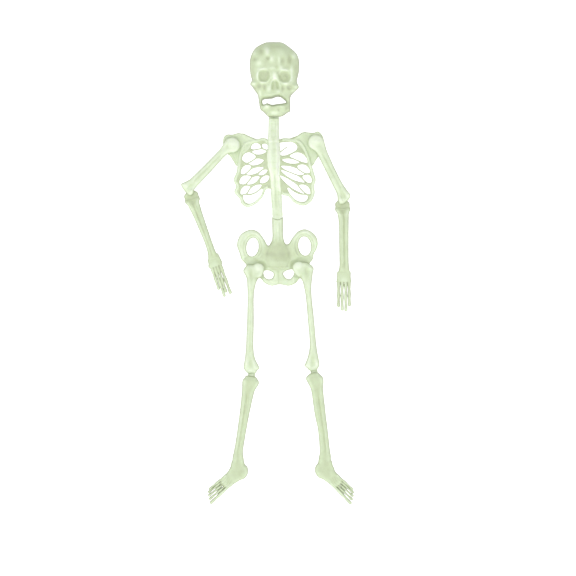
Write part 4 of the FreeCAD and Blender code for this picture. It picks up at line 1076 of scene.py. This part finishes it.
# ---------------------------------------------------------------- materials
class Shader:
    """A new material's nodes, with short ways to add the ones used here."""

    def __init__(self, name):
        self.material = bpy.data.materials.new(name)
        self.material.use_nodes = True
        self.nodes = self.material.node_tree.nodes
        self.link = self.material.node_tree.links.new
        self.inputs = self.nodes["Principled BSDF"].inputs
        self.place = self.nodes.new("ShaderNodeTexCoord").outputs["Object"]

    def scatter(self, weight, radius, scale):
        self.inputs["Subsurface Weight"].default_value = weight
        self.inputs["Subsurface Radius"].default_value = radius
        self.inputs["Subsurface Scale"].default_value = scale

    def noise(self, scale, detail, rough=0.5):
        node = self.nodes.new("ShaderNodeTexNoise")
        node.inputs["Scale"].default_value = scale
        node.inputs["Detail"].default_value = detail
        node.inputs["Roughness"].default_value = rough
        self.link(self.place, node.inputs["Vector"])
        return node.outputs["Fac"]

    def maths(self, kind, a, b):
        node = self.nodes.new("ShaderNodeMath")
        node.operation = kind
        for i, value in enumerate((a, b)):
            if isinstance(value, (int, float)):
                node.inputs[i].default_value = value
            else:
                self.link(value, node.inputs[i])
        return node.outputs[0]

    def color(self, value, stops):
        """Base colour from a ramp; stops run from the first to the last position."""
        ramp = self.nodes.new("ShaderNodeValToRGB")
        marks = ramp.color_ramp.elements
        for mark, (position, rgb) in zip(marks, (stops[0], stops[-1])):
            mark.position = position
            mark.color = (*rgb, 1)
        for position, rgb in stops[1:-1]:
            marks.new(position).color = (*rgb, 1)
        self.link(value, ramp.inputs["Fac"])
        self.link(ramp.outputs["Color"], self.inputs["Base Color"])

    def bump(self, height, strength, distance):
        node = self.nodes.new("ShaderNodeBump")
        node.inputs["Strength"].default_value = strength
        node.inputs["Distance"].default_value = distance
        self.link(height, node.inputs["Height"])
        self.link(node.outputs["Normal"], self.inputs["Normal"])


def glow_material():
    """Pale green translucent vinyl with mottled pigment and a moulded grain."""
    s = Shader("glow_plastic")
    s.scatter(0.2, (0.9, 1.0, 0.6), 0.001)
    s.inputs["IOR"].default_value = 1.49
    s.inputs["Coat Weight"].default_value = 0.08
    s.inputs["Coat Roughness"].default_value = 0.35
    # The tone attribute brings in the painted highlights and shade; the noise adds mottled
    # pigment.
    tone = s.nodes.new("ShaderNodeAttribute")
    tone.attribute_name = "tone"
    broad = s.maths("MULTIPLY", s.maths("SUBTRACT", s.noise(70, 3), 0.5), 0.34)
    fine = s.maths("MULTIPLY", s.maths("SUBTRACT", s.noise(420, 4, 0.6), 0.5), 0.20)
    mottled = s.maths("ADD", s.maths("ADD", tone.outputs["Fac"], broad), fine)
    s.color(mottled, [(0.0, (0.400, 0.450, 0.295)), (0.30, (0.535, 0.615, 0.400)),
                      (0.50, (0.615, 0.715, 0.490)), (0.72, (0.735, 0.825, 0.630)),
                      (1, (0.865, 0.925, 0.785))])
    rough = s.maths("ADD", 0.36, s.maths("MULTIPLY", s.noise(260, 3, 0.6), 0.22))
    s.link(rough, s.inputs["Roughness"])
    s.bump(s.noise(900, 5, 0.65), 0.25, 0.0004)
    return s.material


def rivet_material():
    """Natural nylon: cloudy off-white."""
    s = Shader("rivet_plastic")
    s.scatter(0.3, (1.0, 1.0, 0.8), 0.002)
    cloud = s.noise(260, 4)
    s.color(cloud, [(0.3, (0.62, 0.68, 0.52)), (0.7, (0.80, 0.85, 0.72))])
    rough = s.nodes.new("ShaderNodeMapRange")
    rough.inputs["To Min"].default_value = 0.3
    rough.inputs["To Max"].default_value = 0.5
    s.link(cloud, rough.inputs["Value"])
    s.link(rough.outputs["Result"], s.inputs["Roughness"])
    s.bump(cloud, 0.2, 0.0002)
    return s.material


def paper_material():
    s = Shader("pale_floor")
    s.place = s.place.node.outputs["Generated"]
    s.inputs["Roughness"].default_value = 0.9
    s.inputs["Emission Color"].default_value = (1.0, 1.0, 1.0, 1)
    s.inputs["Emission Strength"].default_value = 0.50
    s.color(s.noise(3.0, 2.0), [(0.0, (0.90, 0.90, 0.90)), (1.0, (0.93, 0.93, 0.93))])
    return s.material


# ----------------------------------------------------------------- the stage
FRAME_WIDTH = 1.1197          # metres seen across the picture at the figure
CAMERA_AIM = (0.0272, -0.4685)
CAMERA_DISTANCE = 4.0
SENSOR_MM = 36.0


FLOOR_DROP = 0.10             # gap between the toes and the floor
FLOOR_FRONT = -7.0
WALL_Y, WALL_BEND, WALL_TOP = 7.5, 2.5, 14.0
HALF_WIDTH = 16.0
BEND_STEPS = 12


def make_stage(material):
    """Floor that sweeps up into a backdrop, farther off than any camera."""
    floor_z = CAD_BOX[0][2] - FLOOR_DROP
    profile = [(FLOOR_FRONT, floor_z), (WALL_Y - WALL_BEND, floor_z)]
    for k in range(1, BEND_STEPS + 1):
        a = math.pi / 2 * k / BEND_STEPS
        out, up = WALL_BEND * math.sin(a), WALL_BEND * (1 - math.cos(a))
        profile.append((WALL_Y - WALL_BEND + out, floor_z + up))
    profile.append((WALL_Y, floor_z + WALL_TOP))
    verts, faces = [], []
    for y, z in profile:
        verts += [(-HALF_WIDTH, y, z), (HALF_WIDTH, y, z)]
    for i in range(len(profile) - 1):
        faces.append((2 * i, 2 * i + 1, 2 * i + 3, 2 * i + 2))
    mesh = bpy.data.meshes.new("floor")
    mesh.from_pydata(verts, [], faces)
    mesh.polygons.foreach_set("use_smooth", [True] * len(faces))
    mesh.materials.append(material)
    floor = bpy.data.objects.new("floor", mesh)
    bpy.context.scene.collection.objects.link(floor)


def add_area(name, place, aim, size, power):
    lamp = bpy.data.lights.new(name, "AREA")
    lamp.shape = "RECTANGLE"
    lamp.size, lamp.size_y = size
    lamp.energy = power
    obj = bpy.data.objects.new(name, lamp)
    obj.location = place
    direction = [a - p for a, p in zip(aim, place)]
    obj.rotation_euler = Vector(direction).to_track_quat("-Z", "Y").to_euler()
    bpy.context.scene.collection.objects.link(obj)


def make_lights():
    middle = (0.0, 0.0, -0.45)
    add_area("key", (-1.3, -3.0, 0.7), middle, (1.8, 1.8), 25)
    add_area("fill", (1.7, -3.0, -0.9), middle, (2.2, 2.2), 14)
    world = bpy.data.worlds.new("studio")
    world.use_nodes = True
    sky = world.node_tree.nodes["Background"]
    sky.inputs["Color"].default_value = (1.0, 1.0, 1.0, 1)
    sky.inputs["Strength"].default_value = 0.62
    bpy.context.scene.world = world


def make_camera():
    camera = bpy.data.cameras.new("camera")
    camera.sensor_width = SENSOR_MM
    camera.lens = SENSOR_MM * CAMERA_DISTANCE / FRAME_WIDTH
    camera.clip_end = 50
    obj = bpy.data.objects.new("camera", camera)
    obj.location = (CAMERA_AIM[0], -CAMERA_DISTANCE, CAMERA_AIM[1])
    obj.rotation_euler = (math.pi / 2, 0, 0)
    bpy.context.scene.collection.objects.link(obj)
    bpy.context.scene.camera = obj


# -------------------------------------------------------------------- build
glow = glow_material()
make_skull(glow)
make_torso(glow)
make_pelvis(glow)
for hand_side in ("r", "l"):
    make_upper_arm(hand_side, glow)
    make_forearm(hand_side, glow)
    make_thigh(hand_side, glow)
    make_shin(hand_side, glow)

nylon = rivet_material()
for name, node in frame["nodes"].items():
    if name.startswith("rivet_"):
        node.data.materials.clear()
        node.data.materials.append(nylon)

make_stage(paper_material())
make_lights()
make_camera()
bpy.context.scene.view_settings.view_transform = "Standard"
